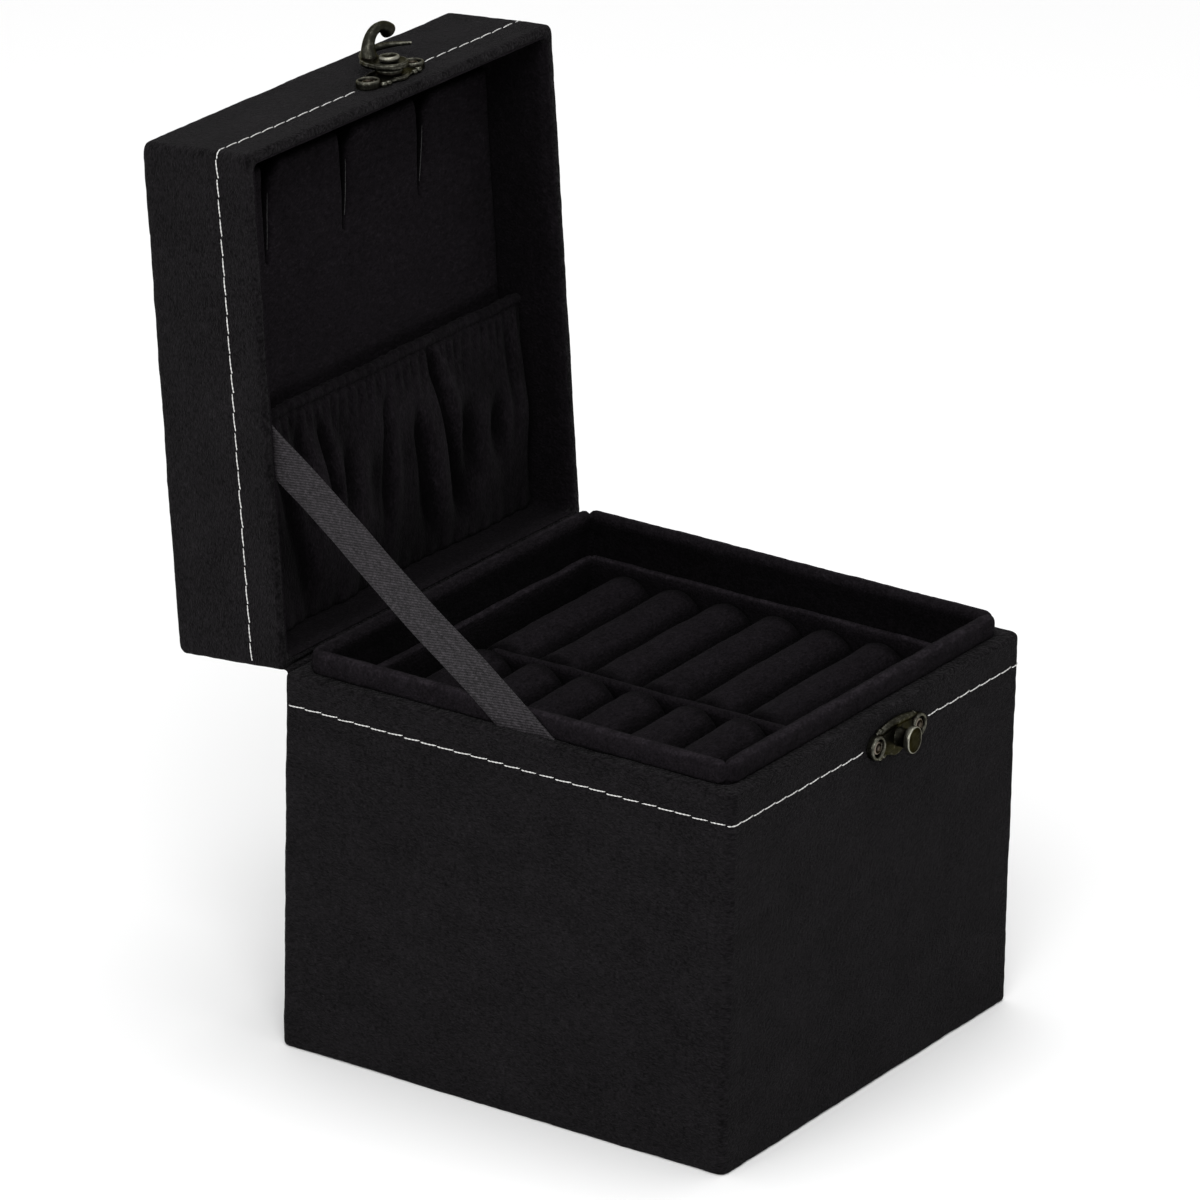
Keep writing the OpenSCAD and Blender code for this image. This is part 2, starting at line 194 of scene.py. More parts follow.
class Nodes:
    """A material under construction, with a short way to add and link nodes."""

    def __init__(self, name, **shader):
        self.material = bpy.data.materials.new(name)
        self.material.use_nodes = True
        self.tree = self.material.node_tree
        self.shader = self.tree.nodes["Principled BSDF"]
        for socket, value in shader.items():
            self.shader.inputs[socket.replace("_", " ")].default_value = value

    def add(self, kind, values=(), **settings):
        node = self.tree.nodes.new("ShaderNode" + kind)
        for key, value in settings.items():
            setattr(node, key, value)
        for socket, value in dict(values).items():
            if isinstance(value, bpy.types.NodeSocket):
                self.tree.links.new(value, node.inputs[socket])
            else:
                node.inputs[socket].default_value = value
        return node

    def link(self, output, socket):
        self.tree.links.new(output, self.shader.inputs[socket])

    def rest(self):
        """The point's place in millimetres in the frame that the piece was drawn in."""
        return self.add("Attribute", attribute_name="rest").outputs["Vector"]

    def stretched(self, scale):
        return self.add("Mapping", {"Vector": self.rest(), "Scale": scale}).outputs["Vector"]

    def noise(self, where, scale, detail=2.0, roughness=0.5):
        values = {"Vector": where, "Scale": scale, "Detail": detail, "Roughness": roughness}
        return self.add("TexNoise", values).outputs["Fac"]

    def math(self, operation, a, b):
        return self.add("Math", {0: a, 1: b}, operation=operation).outputs[0]

    def colour(self, factor, stops):
        """Colours the material by a ramp of (place, colour) stops."""
        node = self.add("ValToRGB", {"Fac": factor})
        ramp = node.color_ramp
        while len(ramp.elements) < len(stops):
            ramp.elements.new(0.5)
        for element, (place, colour) in zip(ramp.elements, stops):
            element.position = place
            element.color = (*colour, 1)
        self.link(node.outputs["Color"], "Base Color")

    def bump(self, height, distance, strength=1.0):
        values = {"Height": height, "Distance": distance, "Strength": strength}
        self.link(self.add("Bump", values).outputs["Normal"], "Normal")


def grey(value):
    return (value, value, value)


def plum(value):
    """A dark grey with a slight violet cast."""
    return (value * 1.10, value * 0.92, value * 1.12)


def soot(value):
    """Nearly black, with less of that cast."""
    return (value * 1.05, value * 0.95, value * 1.06)


def napped_cloth(name, colour, dark, light, nap, sheen, relief):
    """Short-pile cloth: patches, strokes of the nap, flecks and a faint sheen; darker by painted shade where
    the deep attribute is high, paler by painted highlight where it is below 0.
    """
    m = Nodes(name, Roughness=1.0, Specular_IOR_Level=0.03, Sheen_Weight=sheen, Sheen_Roughness=0.4)
    patches = m.noise(m.stretched((0.09, 0.09, 0.16)), 1.0, 3.0, 0.55)
    strokes = m.noise(m.stretched(nap), 1.0, 3.0, 0.7)
    flecks = m.noise(m.stretched(tuple(2.6 * n for n in nap)), 1.0, 1.0, 0.5)
    mixed = m.math("ADD", m.math("MULTIPLY", patches, 0.16), m.math("MULTIPLY", strokes, 0.44))
    mixed = m.math("ADD", mixed, m.math("MULTIPLY", flecks, 0.40))
    # deep carries painted shading: painted shade above 0, painted highlight below 0.
    deep = m.add("Attribute", attribute_name="deep").outputs["Fac"]
    mixed = m.math("SUBTRACT", mixed, m.math("MULTIPLY", deep, 0.3))
    shades = ((0.12, dark * 0.3), (0.40, dark), (0.60, light), (0.80, light * 2.2))
    m.colour(mixed, [(place, colour(shade)) for place, shade in shades])
    m.bump(m.math("ADD", flecks, strokes), relief)
    return m.material


RIB_PITCH = 0.9


def ribbon_cloth():
    """Satin twill: fine slanting ribs, broken up by loose threads and streaks along the ribbon."""
    m = Nodes("ribbon", Roughness=0.6, Specular_IOR_Level=0.12, Sheen_Weight=0.03, Sheen_Roughness=0.35)
    place = m.add("Attribute", attribute_name="weave").outputs["Vector"]
    along = m.add("SeparateXYZ", {"Vector": place})
    u, v = along.outputs["X"], along.outputs["Y"]
    slant = m.math("ADD", v, m.math("MULTIPLY", u, 1.1))
    rib = m.math("SINE", m.math("MULTIPLY", slant, 2 * pi / RIB_PITCH), 0.0)
    broken = m.noise(place, 1.1, 2.0, 0.9)
    lengthways = m.add("Mapping", {"Vector": place, "Scale": (1.4, 0.1, 1)}).outputs["Vector"]
    streaks = m.noise(lengthways, 1.0, 3.0, 0.6)
    weave = m.math("ADD", m.math("MULTIPLY", rib, 0.14), m.math("MULTIPLY", broken, 1.0))
    shade = m.math("ADD", weave, m.math("MULTIPLY", streaks, 0.45))
    m.colour(shade, [(0.45, soot(0.005)), (0.72, soot(0.0142)), (1.0, soot(0.036))])
    m.bump(weave, 0.00025, 0.8)
    return m.material


def thread_cloth():
    m = Nodes("thread", Roughness=0.8, Sheen_Weight=0.1, Sheen_Roughness=0.5)
    fibre = m.noise(m.stretched((3, 3, 3)), 1.0, 2.0, 0.7)
    m.colour(fibre, [(0.3, (0.36, 0.355, 0.345)), (0.6, (0.66, 0.655, 0.64))])
    m.bump(fibre, 0.00006, 0.7)
    return m.material


def antique_bronze(name, dark, middle, bright):
    """Plated metal, dark in its hollows and rubbed bright on its edges by the wear attribute."""
    m = Nodes(name, Metallic=1.0, Specular_Tint=(0.5, 0.49, 0.43, 1))
    wear = m.add("Attribute", attribute_name="wear").outputs["Fac"]
    stains = m.noise(m.rest(), 0.9, 4.0, 0.65)
    pits = m.noise(m.rest(), 6.0, 2.0, 0.6)
    amount = m.math("ADD", wear, m.math("MULTIPLY", m.math("SUBTRACT", stains, 0.5), 0.5))
    m.colour(amount, [(0.2, dark), (0.45, middle), (0.9, bright)])
    rough = m.add("MapRange", {"Value": stains, "From Min": 0.3, "From Max": 0.7,
                               "To Min": 0.44, "To Max": 0.27}).outputs["Result"]
    m.link(rough, "Roughness")
    m.bump(m.math("ADD", pits, stains), 0.00006, 0.6)
    return m.material


def plain_board():
    m = Nodes("board", Roughness=0.85)
    coordinates = m.add("TexCoord").outputs["Object"]
    fibre = m.noise(coordinates, 900.0, 4.0, 0.7)
    m.colour(fibre, [(0.3, (0.34, 0.27, 0.18)), (0.7, (0.5, 0.41, 0.3))])
    m.bump(fibre, 0.0002)
    return m.material


def dark_foam():
    m = Nodes("foam", Roughness=0.9)
    cells = m.add("TexVoronoi", {"Vector": m.add("TexCoord").outputs["Object"], "Scale": 1500.0})
    m.colour(cells.outputs["Distance"], [(0.1, grey(0.02)), (0.7, grey(0.06))])
    m.bump(cells.outputs["Distance"], 0.0003)
    return m.material


def base_paper():
    m = Nodes("base_cloth", Roughness=0.8)
    coordinates = m.rest()
    weft = m.add("TexWave", {"Vector": coordinates, "Scale": 1.1, "Distortion": 0.6}, bands_direction="X")
    warp = m.add("TexWave", {"Vector": coordinates, "Scale": 1.1, "Distortion": 0.6}, bands_direction="Y")
    weave = m.math("MULTIPLY", weft.outputs["Fac"], warp.outputs["Fac"])
    m.colour(weave, [(0.0, grey(0.008)), (0.8, grey(0.022))])
    m.bump(weave, 0.0001)
    return m.material


SUEDE = napped_cloth("suede", soot, 0.0027, 0.0098, (0.5, 0.5, 1.25), 0.017, 0.0007)
VELVET = napped_cloth("velvet", plum, 0.0034, 0.0070, (0.5, 0.7, 0.7), 0.004, 0.0003)
POCKET_CLOTH = napped_cloth("pocket_cloth", plum, 0.0024, 0.0062, (1.2, 0.4, 0.8), 0.010, 0.0003)
RIBBON = ribbon_cloth()
THREAD = thread_cloth()
BRONZE = antique_bronze("bronze", (0.006, 0.005, 0.004), (0.026, 0.0255, 0.020), (0.27, 0.265, 0.22))
NAIL = antique_bronze("nail", (0.006, 0.005, 0.004), (0.018, 0.014, 0.012), (0.20, 0.17, 0.14))
BOARD = plain_board()
FOAM = dark_foam()
PAPER = base_paper()


# ---- shape tools

class Shape:
    """Points in millimetres and the faces between them."""

    def __init__(self):
        self.points = []
        self.faces = []

    def add_ring(self, ring):
        first = len(self.points)
        self.points.extend(Vector(p) for p in ring)
        return list(range(first, first + len(ring)))

    def moved(self, change):
        self.points = [Vector(change(p)) for p in self.points]

    def join(self, other, matrix=Matrix.Identity(4)):
        first = len(self.points)
        self.points.extend(matrix @ p for p in other.points)
        self.faces.extend(tuple(first + i for i in face) for face in other.faces)


def lofted(rings, path_closed=False):
    """A skin over rings of equally many points, with a cap at each end unless its path closes on itself."""
    shape = Shape()
    rows = [shape.add_ring(ring) for ring in rings]
    for a, b in zip(rows, rows[1:] + rows[:1] if path_closed else rows[1:]):
        for i in range(len(a)):
            j = (i + 1) % len(a)
            shape.faces.append((a[i], a[j], b[j], b[i]))
    if not path_closed:
        shape.faces += [tuple(reversed(rows[0])), tuple(rows[-1])]
    return shape


def bumpy(p, wave, seed):
    """Smooth noise from -1 to 1 at a point, with the given wavelength."""
    return noise.noise(Vector(p) / wave + Vector((seed * 7.3, seed * 3.1, seed * 5.7)))


def eased(value):
    """Smooth step from 0 to 1."""
    t = min(1.0, max(0.0, value))
    return t * t * (3 - 2 * t)


def outline(corners, step):
    """A closed outline round corners (x, y, radius), with no gap between points longer than step."""
    arcs = []
    count = len(corners)
    for i, (x, y, radius) in enumerate(corners):
        here = Vector((x, y))
        before = Vector(corners[i - 1][:2])
        after = Vector(corners[(i + 1) % count][:2])
        start = here + (before - here).normalized() * min(radius, (before - here).length * 0.49)
        end = here + (after - here).normalized() * min(radius, (after - here).length * 0.49)
        steps = 2 if radius < 0.4 else 5
        arcs.append([start.lerp(here, t / steps).lerp(here.lerp(end, t / steps), t / steps)
                     for t in range(steps + 1)])
    points = []
    for i, arc in enumerate(arcs):
        points.extend(arc)
        gap = arcs[(i + 1) % count][0] - arc[-1]
        pieces = max(1, ceil(gap.length / step))
        points.extend(arc[-1] + gap * (k / pieces) for k in range(1, pieces))
    return points


def square_outline(half, radius, side_steps=56, corner_steps=6):
    """Points round a square with round corners, anticlockwise, from the left-hand end of the front side."""
    points = []
    straight = half - radius
    for quarter in range(4):
        turn = Matrix.Rotation(quarter * pi / 2, 2)
        for k in range(side_steps):
            points.append(turn @ Vector((-straight + 2 * straight * k / side_steps, -half)))
        for k in range(corner_steps):
            a = -pi / 2 + pi / 2 * k / corner_steps
            points.append(turn @ Vector((straight + radius * cos(a), -straight + radius * sin(a))))
    return points


def square_sweep(profile, half, radius, closed=True, side_steps=56):
    """Sweeps a profile of (inset, height) round a square. radius(inset) is the corner's radius there."""
    rings = [[(p.x, p.y, height) for p in square_outline(half - inset, radius(inset), side_steps)]
             for inset, height in profile]
    return lofted(rings, closed)


def lathe(profile, segments=40):
    """Turns a profile of (radius, height) round Z. It starts and ends on the axis or closes on itself."""
    closed = profile[0][0] > 0 and profile[-1][0] > 0
    pinhole = 0.01
    turns = [2 * pi * k / segments for k in range(segments)]
    rings = [[(max(r, pinhole) * cos(a), max(r, pinhole) * sin(a), z) for a in turns] for r, z in profile]
    return lofted(rings, closed)


def tube(path, radii, segments=16):
    """A round bar along a path, with a radius at each of its points and flat ends."""
    normal = None
    rings = []
    count = len(path)
    for i, p in enumerate(path):
        ahead = (path[min(i + 1, count - 1)] - path[max(i - 1, 0)]).normalized()
        if normal is None:
            normal = ahead.orthogonal().normalized()
        normal = (normal - ahead * normal.dot(ahead)).normalized()
        side = ahead.cross(normal)
        ring = []
        for k in range(segments):
            a = 2 * pi * k / segments
            ring.append(p + radii[i] * (normal * cos(a) + side * sin(a)))
        rings.append(ring)
    return lofted(rings)


# ---- turning shapes into pieces

def to_object(name, shape, placed, material):
    """A Blender object made of a shape, with each point's drawing place kept in the rest attribute."""
    mesh = bpy.data.meshes.new(name)
    matrix = TO_METRES @ placed
    mesh.from_pydata([matrix @ p for p in shape.points], [], shape.faces)
    piece = bpy.data.objects.new(name, mesh)
    bpy.context.scene.collection.objects.link(piece)
    tidy = bmesh.new()
    tidy.from_mesh(mesh)
    bmesh.ops.recalc_face_normals(tidy, faces=tidy.faces)
    tidy.to_mesh(mesh)
    tidy.free()
    mesh.materials.append(material)
    mesh.shade_smooth()
    remember_rest(piece, placed)
    return piece


def write_attribute(piece, name, values, kind="FLOAT", field="value"):
    """Writes a value for each of a piece's points, for the materials to read."""
    data = piece.data.attributes.get(name) or piece.data.attributes.new(name, kind, "POINT")
    data.data.foreach_set(field, values)


def write_places(piece, name, places):
    write_attribute(piece, name, [x for place in places for x in place], "FLOAT_VECTOR", "vector")


def remember_rest(piece, placed):
    """Writes where each point was drawn, in millimetres."""
    back = (TO_METRES @ placed).inverted()
    write_places(piece, "rest", [back @ v.co for v in piece.data.vertices])


def roughen(piece, *layers):
    """Moves a piece's points along their normals by layers of noise (wavelength, amount, seed), in mm."""
    mesh = piece.data
    rest = mesh.attributes["rest"].data
    normals = [v.normal.copy() for v in mesh.vertices]
    for vertex, normal in zip(mesh.vertices, normals):
        p = rest[vertex.index].vector
        lift = sum(amount * bumpy(p, wave, seed) for wave, amount, seed in layers)
        vertex.co += normal * lift * MM
    mesh.update()


def paint_shading(piece, painted_shade_at):
    """Writes the deep attribute of painted shading: painted shade up to 1 in hollows, 0 at crests, and
    painted highlight below 0 on lit edges.
    """
    write_attribute(piece, "deep", [painted_shade_at(entry.vector) for entry in piece.data.attributes["rest"].data])


def apply_modifiers(piece):
    """Replaces a piece's mesh by what its modifiers make of it."""
    mesh = bpy.data.meshes.new_from_object(piece.evaluated_get(bpy.context.evaluated_depsgraph_get()))
    piece.modifiers.clear()
    piece.data = mesh


def cast_in_one(piece, placed, voxel):
    """Fuses overlapping bodies into one smooth casting."""
    fuse = piece.modifiers.new("fuse", "REMESH")
    fuse.mode = "VOXEL"
    fuse.voxel_size = voxel * MM
    ease = piece.modifiers.new("ease", "SMOOTH")
    ease.factor = 0.5
    ease.iterations = 3
    bpy.context.view_layer.update()
    apply_modifiers(piece)
    piece.data.shade_smooth()
    remember_rest(piece, placed)


def rub_edges(piece, reach=2):
    """Writes the wear attribute, high on convex edges and low in hollows, evened out over reach points."""
    flat_wear, gain = 0.36, 3.2
    work = bmesh.new()
    work.from_mesh(piece.data)
    work.normal_update()
    wear = []
    for vertex in work.verts:
        curve = 0.0
        for edge in vertex.link_edges:
            other = edge.other_vert(vertex)
            step = other.co - vertex.co
            curve -= vertex.normal.dot(step) / max(step.length, 1e-9)
        wear.append(curve / max(1, len(vertex.link_edges)))
    neighbours = [[e.other_vert(v).index for e in v.link_edges] for v in work.verts]
    work.free()
    for _ in range(reach):
        wear = [(w + sum(wear[n] for n in near)) / (1 + len(near)) for w, near in zip(wear, neighbours)]
    write_attribute(piece, "wear", [min(1.0, max(0.0, flat_wear + gain * w)) for w in wear])


def finish_piece(piece, body, slot, *nodes):
    """Attaches a piece to the body that carries it and hides the CAD nodes it stands for. Its slot argument
    is not used.
    """
    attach(piece, body)
    if nodes:
        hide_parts(*nodes)


def velvet_pad(name, shape, body, nodes, layers, painted_shade_at=None, placed=CASE):
    """A padded velvet piece, roughened by layers of noise, that stands for CAD nodes of a body."""
    piece = to_object(name, shape, placed, VELVET)
    if painted_shade_at:
        paint_shading(piece, painted_shade_at)
    roughen(piece, *layers)
    finish_piece(piece, body, "velvet", *nodes)


# ---- suede covers and what holds them

BACK_SKIN_HALF = 58.4
BACK_SKIN_SINK = 0.45
NAP_STEP = 1.1
NAP_COUNT = 108
RIM_GAP = 0.3


def corner_radius(inset):
    """The suede's corner radius: tight outside, and fuller where it is turned in round the rim."""
    return CORNER_R + 1.2 * min(1.0, inset / 4)


def sink_back(p, low, high):
    """Lowers the back face where the hinge skin lies on it."""
    if p.y > HALF - 0.9 and abs(p.x) < BACK_SKIN_HALF and low < p.z < high:
        p.y -= BACK_SKIN_SINK
    return p


def thinned(points, seen, every=6):
    """Drops most points of a profile that nobody sees."""
    return [tuple(p) for i, p in enumerate(points) if seen(p) or i % every == 0]


def ruffle_suede(piece, seed):
    """Large dents of the glued suede down to tufts of its pile."""
    layers = ((14, 0.16), (5, 0.07), (2.6, 0.07), (1.5, 0.07))
    roughen(piece, *((wave, amount, seed + k) for k, (wave, amount) in enumerate(layers)))


def case_cover():
    profile = outline([(0, 0, 1.2), (0, CASE_H, 1.3), (4, CASE_H, 0.5), (4, CASE_H - 1.2, 0.2),
                       (1, CASE_H - 1.2, 0.1), (1, 0, 0.1)], NAP_STEP)
    profile = thinned(profile, lambda p: p.x < 0.9 or p.y > CASE_H - 1.3)
    shape = square_sweep(profile, HALF, corner_radius, side_steps=NAP_COUNT)
    shape.moved(lambda p: sink_back(p, 1.4, CASE_H + 1))
    piece = to_object("case_cover", shape, CASE, SUEDE)
    ruffle_suede(piece, 1)
    finish_piece(piece, "case", "suede", "case_suede")


def lid_cover():
    """The lid's suede, drawn round the lid's middle, with a rim that stays clear of the case when shut."""
    side = outline([(0, 0, 1.5), (0, LID_H, 1.9), (5, LID_H, 0.2), (5, LID_H - 1, 0.2), (1, LID_H - 1, 0.1),
                    (1, 2, 0.1), (LID_RIM, 2, 0.1), (LID_RIM, 0, 0.9)], NAP_STEP)
    points = thinned(side, lambda p: p.x < 0.9 or p.y < 2.1 or p.y > LID_H - 1.05)
    outer_last = max(i for i, p in enumerate(points) if abs(p[1] - LID_H) < 1e-6)
    inner_first = min(i for i, p in enumerate(points) if abs(p[1] - LID_H + 1) < 1e-6 and i > outer_last)
    top = [(6.4 + 1.6 * k, LID_H) for k in range(32)] + [(57.5, LID_H), (58.6, LID_H)]
    under = [(6.4 + 6.4 * k, LID_H - 1) for k in range(8)]
    profile = top[::-1] + points[:outer_last + 1][::-1]
    profile += points[inner_first:][::-1] + under + [(58.6, LID_H - 1)]
    shape = square_sweep(profile, HALF, lambda inset: min(corner_radius(inset), max(0.4, HALF - inset - 0.5)),
                         closed=False, side_steps=NAP_COUNT)
    shape.moved(lambda p: sink_back(p, -1, LID_H - 1.2) + Vector((0, 0, RIM_GAP * eased(1 - p.z / 2))))
    piece = to_object("lid_cover", shape, LID_MIDDLE, SUEDE)
    ruffle_suede(piece, 11)
    finish_piece(piece, "lid", "suede", "lid_suede")


def skin_path():
    """The back skin's run in (y, z): up the case, round the hinge line and along the open lid's back."""
    foot, top, sunk = 1.9, LID_H - 1.8, 0.22
    path = [Vector((HALF - sunk, foot + k * (CASE_H - 1.1 - foot) / 44)) for k in range(45)]
    on_lid = [(LID @ Vector((0, -sunk, 1.1 + k * (top - 1.1) / 14))).yz for k in range(15)]
    start, knee, end = path[-1], Vector((HALF - sunk, CASE_H + 0.25)), on_lid[0]
    turn = [start.lerp(knee, k / 8).lerp(knee.lerp(end, k / 8), k / 8) for k in range(1, 8)]
    return path + turn + on_lid


def lay_out_shut(piece):
    """Gives the back skin's upper part the rest places it has with the lid shut, so that the nap runs on."""
    to_lid = LID.inverted()
    for entry in piece.data.attributes["rest"].data:
        p = Vector(entry.vector)
        if p.y > HALF + 0.6:
            entry.vector = HINGE_POINT + to_lid @ p


def back_skin():
    """One sheet of suede down the lid's back and the case's back, creased along the hinge line."""
    half_thick = 0.26
    crease_row = 48
    path = skin_path()
    columns = [-BACK_SKIN_HALF + 2 * BACK_SKIN_HALF * k / 64 for k in range(65)]
    rows = []
    for i, p in enumerate(path):
        ahead = (path[min(i + 1, len(path) - 1)] - path[max(i - 1, 0)]).normalized()
        out = Vector((ahead.y, -ahead.x))
        half = half_thick * (0.4 if i in (0, len(path) - 1) else 1.0)
        near_crease = exp(-((i - crease_row) / 6) ** 2)
        loop = []
        for side in (1, -1):
            for x in columns[::side]:
                crease = 0.12 * bumpy((x, p.x * 0.6, p.y * 0.6), 6, 31) * near_crease
                rim = 1.0 if abs(x) < BACK_SKIN_HALF - 0.5 else 0.5
                q = p + out * (side * half * rim + crease)
                loop.append((x, q.x, q.y))
        rows.append(loop)
    shape = lofted(rows)
    piece = to_object("back_skin", shape, CASE, SUEDE)
    lay_out_shut(piece)
    roughen(piece, (14, 0.10, 21), (2.2, 0.03, 23))
    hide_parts("hinge_cloth")
    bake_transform(piece)


def bottom_paper():
    half = HALF - 1.1
    rings = []
    for inset, height in ((0.5, 0.95), (0.1, 0.8), (0, 0.5), (0.1, 0.2), (0.6, 0.02)):
        rings.append([(p.x, p.y, height) for p in square_outline(half - inset, 1.5)])
    for k in range(1, 14):
        rings.append([(p.x, p.y, 0.06 + 0.05 * sin(k)) for p in square_outline(half - 4.4 * k, 1.2)])
    piece = to_object("bottom_paper", lofted(rings), CASE, PAPER)
    finish_piece(piece, "case", "base_cloth", "bottom_sheet")


# ---- stitching

STRAIGHT = 2 * (HALF - CORNER_R)
CORNER_ARC = pi / 2 * CORNER_R


def round_corner(start, out, s):
    """Place and outward direction at distance s along a corner's arc."""
    centre = start - out * CORNER_R
    turn = Matrix.Rotation(s / CORNER_R, 2)
    return centre + turn @ (start - centre), turn @ out


def rim_point(s):
    """Place and outward direction at distance s round the box, from the back end of its left side."""
    start, out = Vector((-HALF, HALF - CORNER_R)), Vector((-1, 0))
    if s < 0:
        return round_corner(start, out, s)
    for _ in range(3):
        heading = Vector((-out.y, out.x))
        if s <= STRAIGHT:
            return start + heading * s, out
        s -= STRAIGHT
        start = start + heading * STRAIGHT
        if s <= CORNER_ARC:
            return round_corner(start, out, s)
        s -= CORNER_ARC
        start, out = round_corner(start, out, CORNER_ARC)
    return start, out


def one_stitch(s, height, length, tilt):
    """Two plies of thread twisted together, diving into the cloth at both ends."""
    shape = Shape()
    steps = 18
    turns = 2.25
    ply_radius = 0.08
    for ply in (0, pi):
        path = []
        for k in range(steps + 1):
            t = k / steps
            place, out = rim_point(s + (t - 0.5) * length)
            twist = ply + t * turns * 2 * pi
            away = 0.36 * sin(pi * t) ** 0.3 - 0.2 + 0.06 * cos(twist)
            up = (t - 0.5) * length * tan(tilt) + 0.07 * sin(twist)
            path.append(Vector((place.x + out.x * away, place.y + out.y * away, height + up)))
        shape.join(tube(path, [ply_radius] * len(path), 7))
    return shape


def stitch_line(name, placed, body, height, node, seed):
    """Stitches along the left side, the front and the right side, with a gap under the latch plate."""
    picks = random.Random(seed)
    total = 3 * STRAIGHT + 2 * CORNER_ARC
    latch_s = STRAIGHT + CORNER_ARC + LATCH_X + HALF - CORNER_R
    count = int((total - 2) / STITCH_PITCH)
    shape = Shape()
    for k in range(count + 1):
        s = (total - count * STITCH_PITCH) / 2 + k * STITCH_PITCH
        if abs(s - latch_s) < PLATE_REACH:
            continue
        length = 4.42 + picks.uniform(-0.1, 0.1)
        tilt = radians(3.4 + picks.uniform(-1.2, 1.2))
        wander = picks.uniform(-0.09, 0.09)
        shape.join(one_stitch(s, height + wander, length, tilt))
    piece = to_object(name, shape, placed, THREAD)
    finish_piece(piece, body, "thread", node)


# ---- velvet of the case and the trays

def pinch_corner(p, middle, top, strength, reach=0.9):
    """Draws a padded rim in along the mitre at its corners, with small tucks beside the seam."""
    off = abs(abs(p.x) - abs(p.y))
    if p.z < top - 8 or off > 6:
        return p
    draw = strength * exp(-(off / reach) ** 2) + 0.13 * cos(off * 4.2) * exp(-(off / 2.6) ** 2)
    centre = Vector((copysign(middle, p.x), copysign(middle, p.y), top - 1.6))
    away = p - centre
    if away.length < 0.2:
        return p
    return p - away.normalized() * min(draw, away.length * 0.5)


def press_rim(p):
    """Flattens the rim's outer side where the ribbon comes up beside it."""
    if p.x < -LEDGE_IN and p.z > CASE_H - 1:
        p.x += (-LEDGE_IN - p.x) * exp(-((p.y + 2) / 9) ** 4)
    return p


def liner_velvet():
    """Padded velvet rim that runs round the inside of the case and down its walls."""
    width = LEDGE_IN - LINER_IN
    crest = LINER_TOP + 0.7
    foot = FLOOR_TOP + 0.05
    profile = outline([(-0.15, CASE_H - 6, 0.2), (-0.15, CASE_H - 0.1, 0.2), (-0.8, CASE_H + 0.35, 0.7),
                       (-0.8, crest, 2.4), (width + 0.35, crest, 2.0), (width + 0.35, crest - 3.6, 1.0),
                       (width, crest - 5.5, 0.8), (width, foot, 0.2), (0.2, foot, 0.2),
                       (0.2, CASE_H - 6, 0.1)], 1.3)
    profile = thinned(profile, lambda p: p.x > 0.5 or p.y > CASE_H - 1)
    shape = square_sweep(profile, LEDGE_IN, lambda inset: max(0.5, 3.6 - inset * 0.8), side_steps=90)
    shape.moved(lambda p: press_rim(pinch_corner(p, (LEDGE_IN + LINER_IN) / 2, LINER_TOP, 0.85)))
    inner = LINER_IN + 1.2

    # Painted shade down the inner walls and on the outer side below the rim's top, and a painted highlight
    # along the crest.
    def painted_shade_at(p):
        if max(abs(p.x), abs(p.y)) < inner:
            return 0.9 * eased((crest - 1.2 - p.z) / 1.6)
        painted_highlight = 0.6 * eased((p.z - crest + 1.1) / 0.8) * (0.75 + 0.6 * bumpy(p, 3.0, 46))
        return 0.5 * eased((CASE_H + 0.9 - p.z) / 0.8) - painted_highlight

    velvet_pad("liner_velvet", shape, "case", ("liner_front", "liner_back", "liner_left", "liner_right"),
               [(16, 0.10, 41), (5, 0.08, 42), (2.0, 0.08, 43), (1.3, 0.05, 44)], painted_shade_at)


def flat_pad(name, half, low, high, body, node, crown, seed):
    """A flat square pad with soft edges and a slight crown."""
    edge = 0.96
    loops = []

    def loop(inset, height):
        loops.append([(p.x, p.y, height) for p in square_outline(half - inset, max(0.4, 1.6 - inset), 40)])

    for inset, share in ((1.0, 0.0), (0.25, 0.05), (0, 0.3), (0, 0.7), (0.25, 0.93), (1.0, 1.0)):
        loop(inset * edge, low + (high - low) * share)
    for k in range(1, 17):
        loop(edge + k * (half - 2) / 17, high + crown * sin(pi / 2 * k / 17))
    velvet_pad(name, lofted(loops), body, [node], [(15, 0.15, seed), (4, 0.06, seed + 1)])


def board_bar(start, end, thick, low, high, seed, wave=0.35, taper=0.6):
    """A padded upright strip between two plan points, with a round top edge and soft ends."""
    start, end = Vector(start), Vector(end)
    heading = (end - start).normalized()
    side = Vector((-heading.y, heading.x))
    length = (end - start).length
    section = outline([(-thick / 2, low, 0.2), (thick / 2, low, 0.2), (thick / 2, high, thick * 0.48),
                       (-thick / 2, high, thick * 0.48)], 1.8)
    stations = [0, taper * 0.25, taper] + [taper + (length - 2 * taper) * k / 48 for k in range(1, 48)]
    stations += [length - taper, length - taper * 0.25, length]
    rings = []
    for i, s in enumerate(stations):
        edge = min(i, len(stations) - 1 - i)
        squeeze = (0.45, 0.82)[edge] if edge < 2 else 1.0
        drop = (0.5, 0.15)[edge] if edge < 2 else 0.0
        centre = start + heading * s
        ring = []
        for q in section:
            share = (q.y - low) / (high - low)
            sway = wave * share * bumpy((s, seed, 0), 22, seed)
            sag = wave * 0.6 * share * bumpy((s, seed, 9), 9, seed + 1)
            flat = centre + side * (q.x * squeeze + sway)
            ring.append((flat.x, flat.y, q.y + sag - drop * share))
        rings.append(ring)
    return lofted(rings)


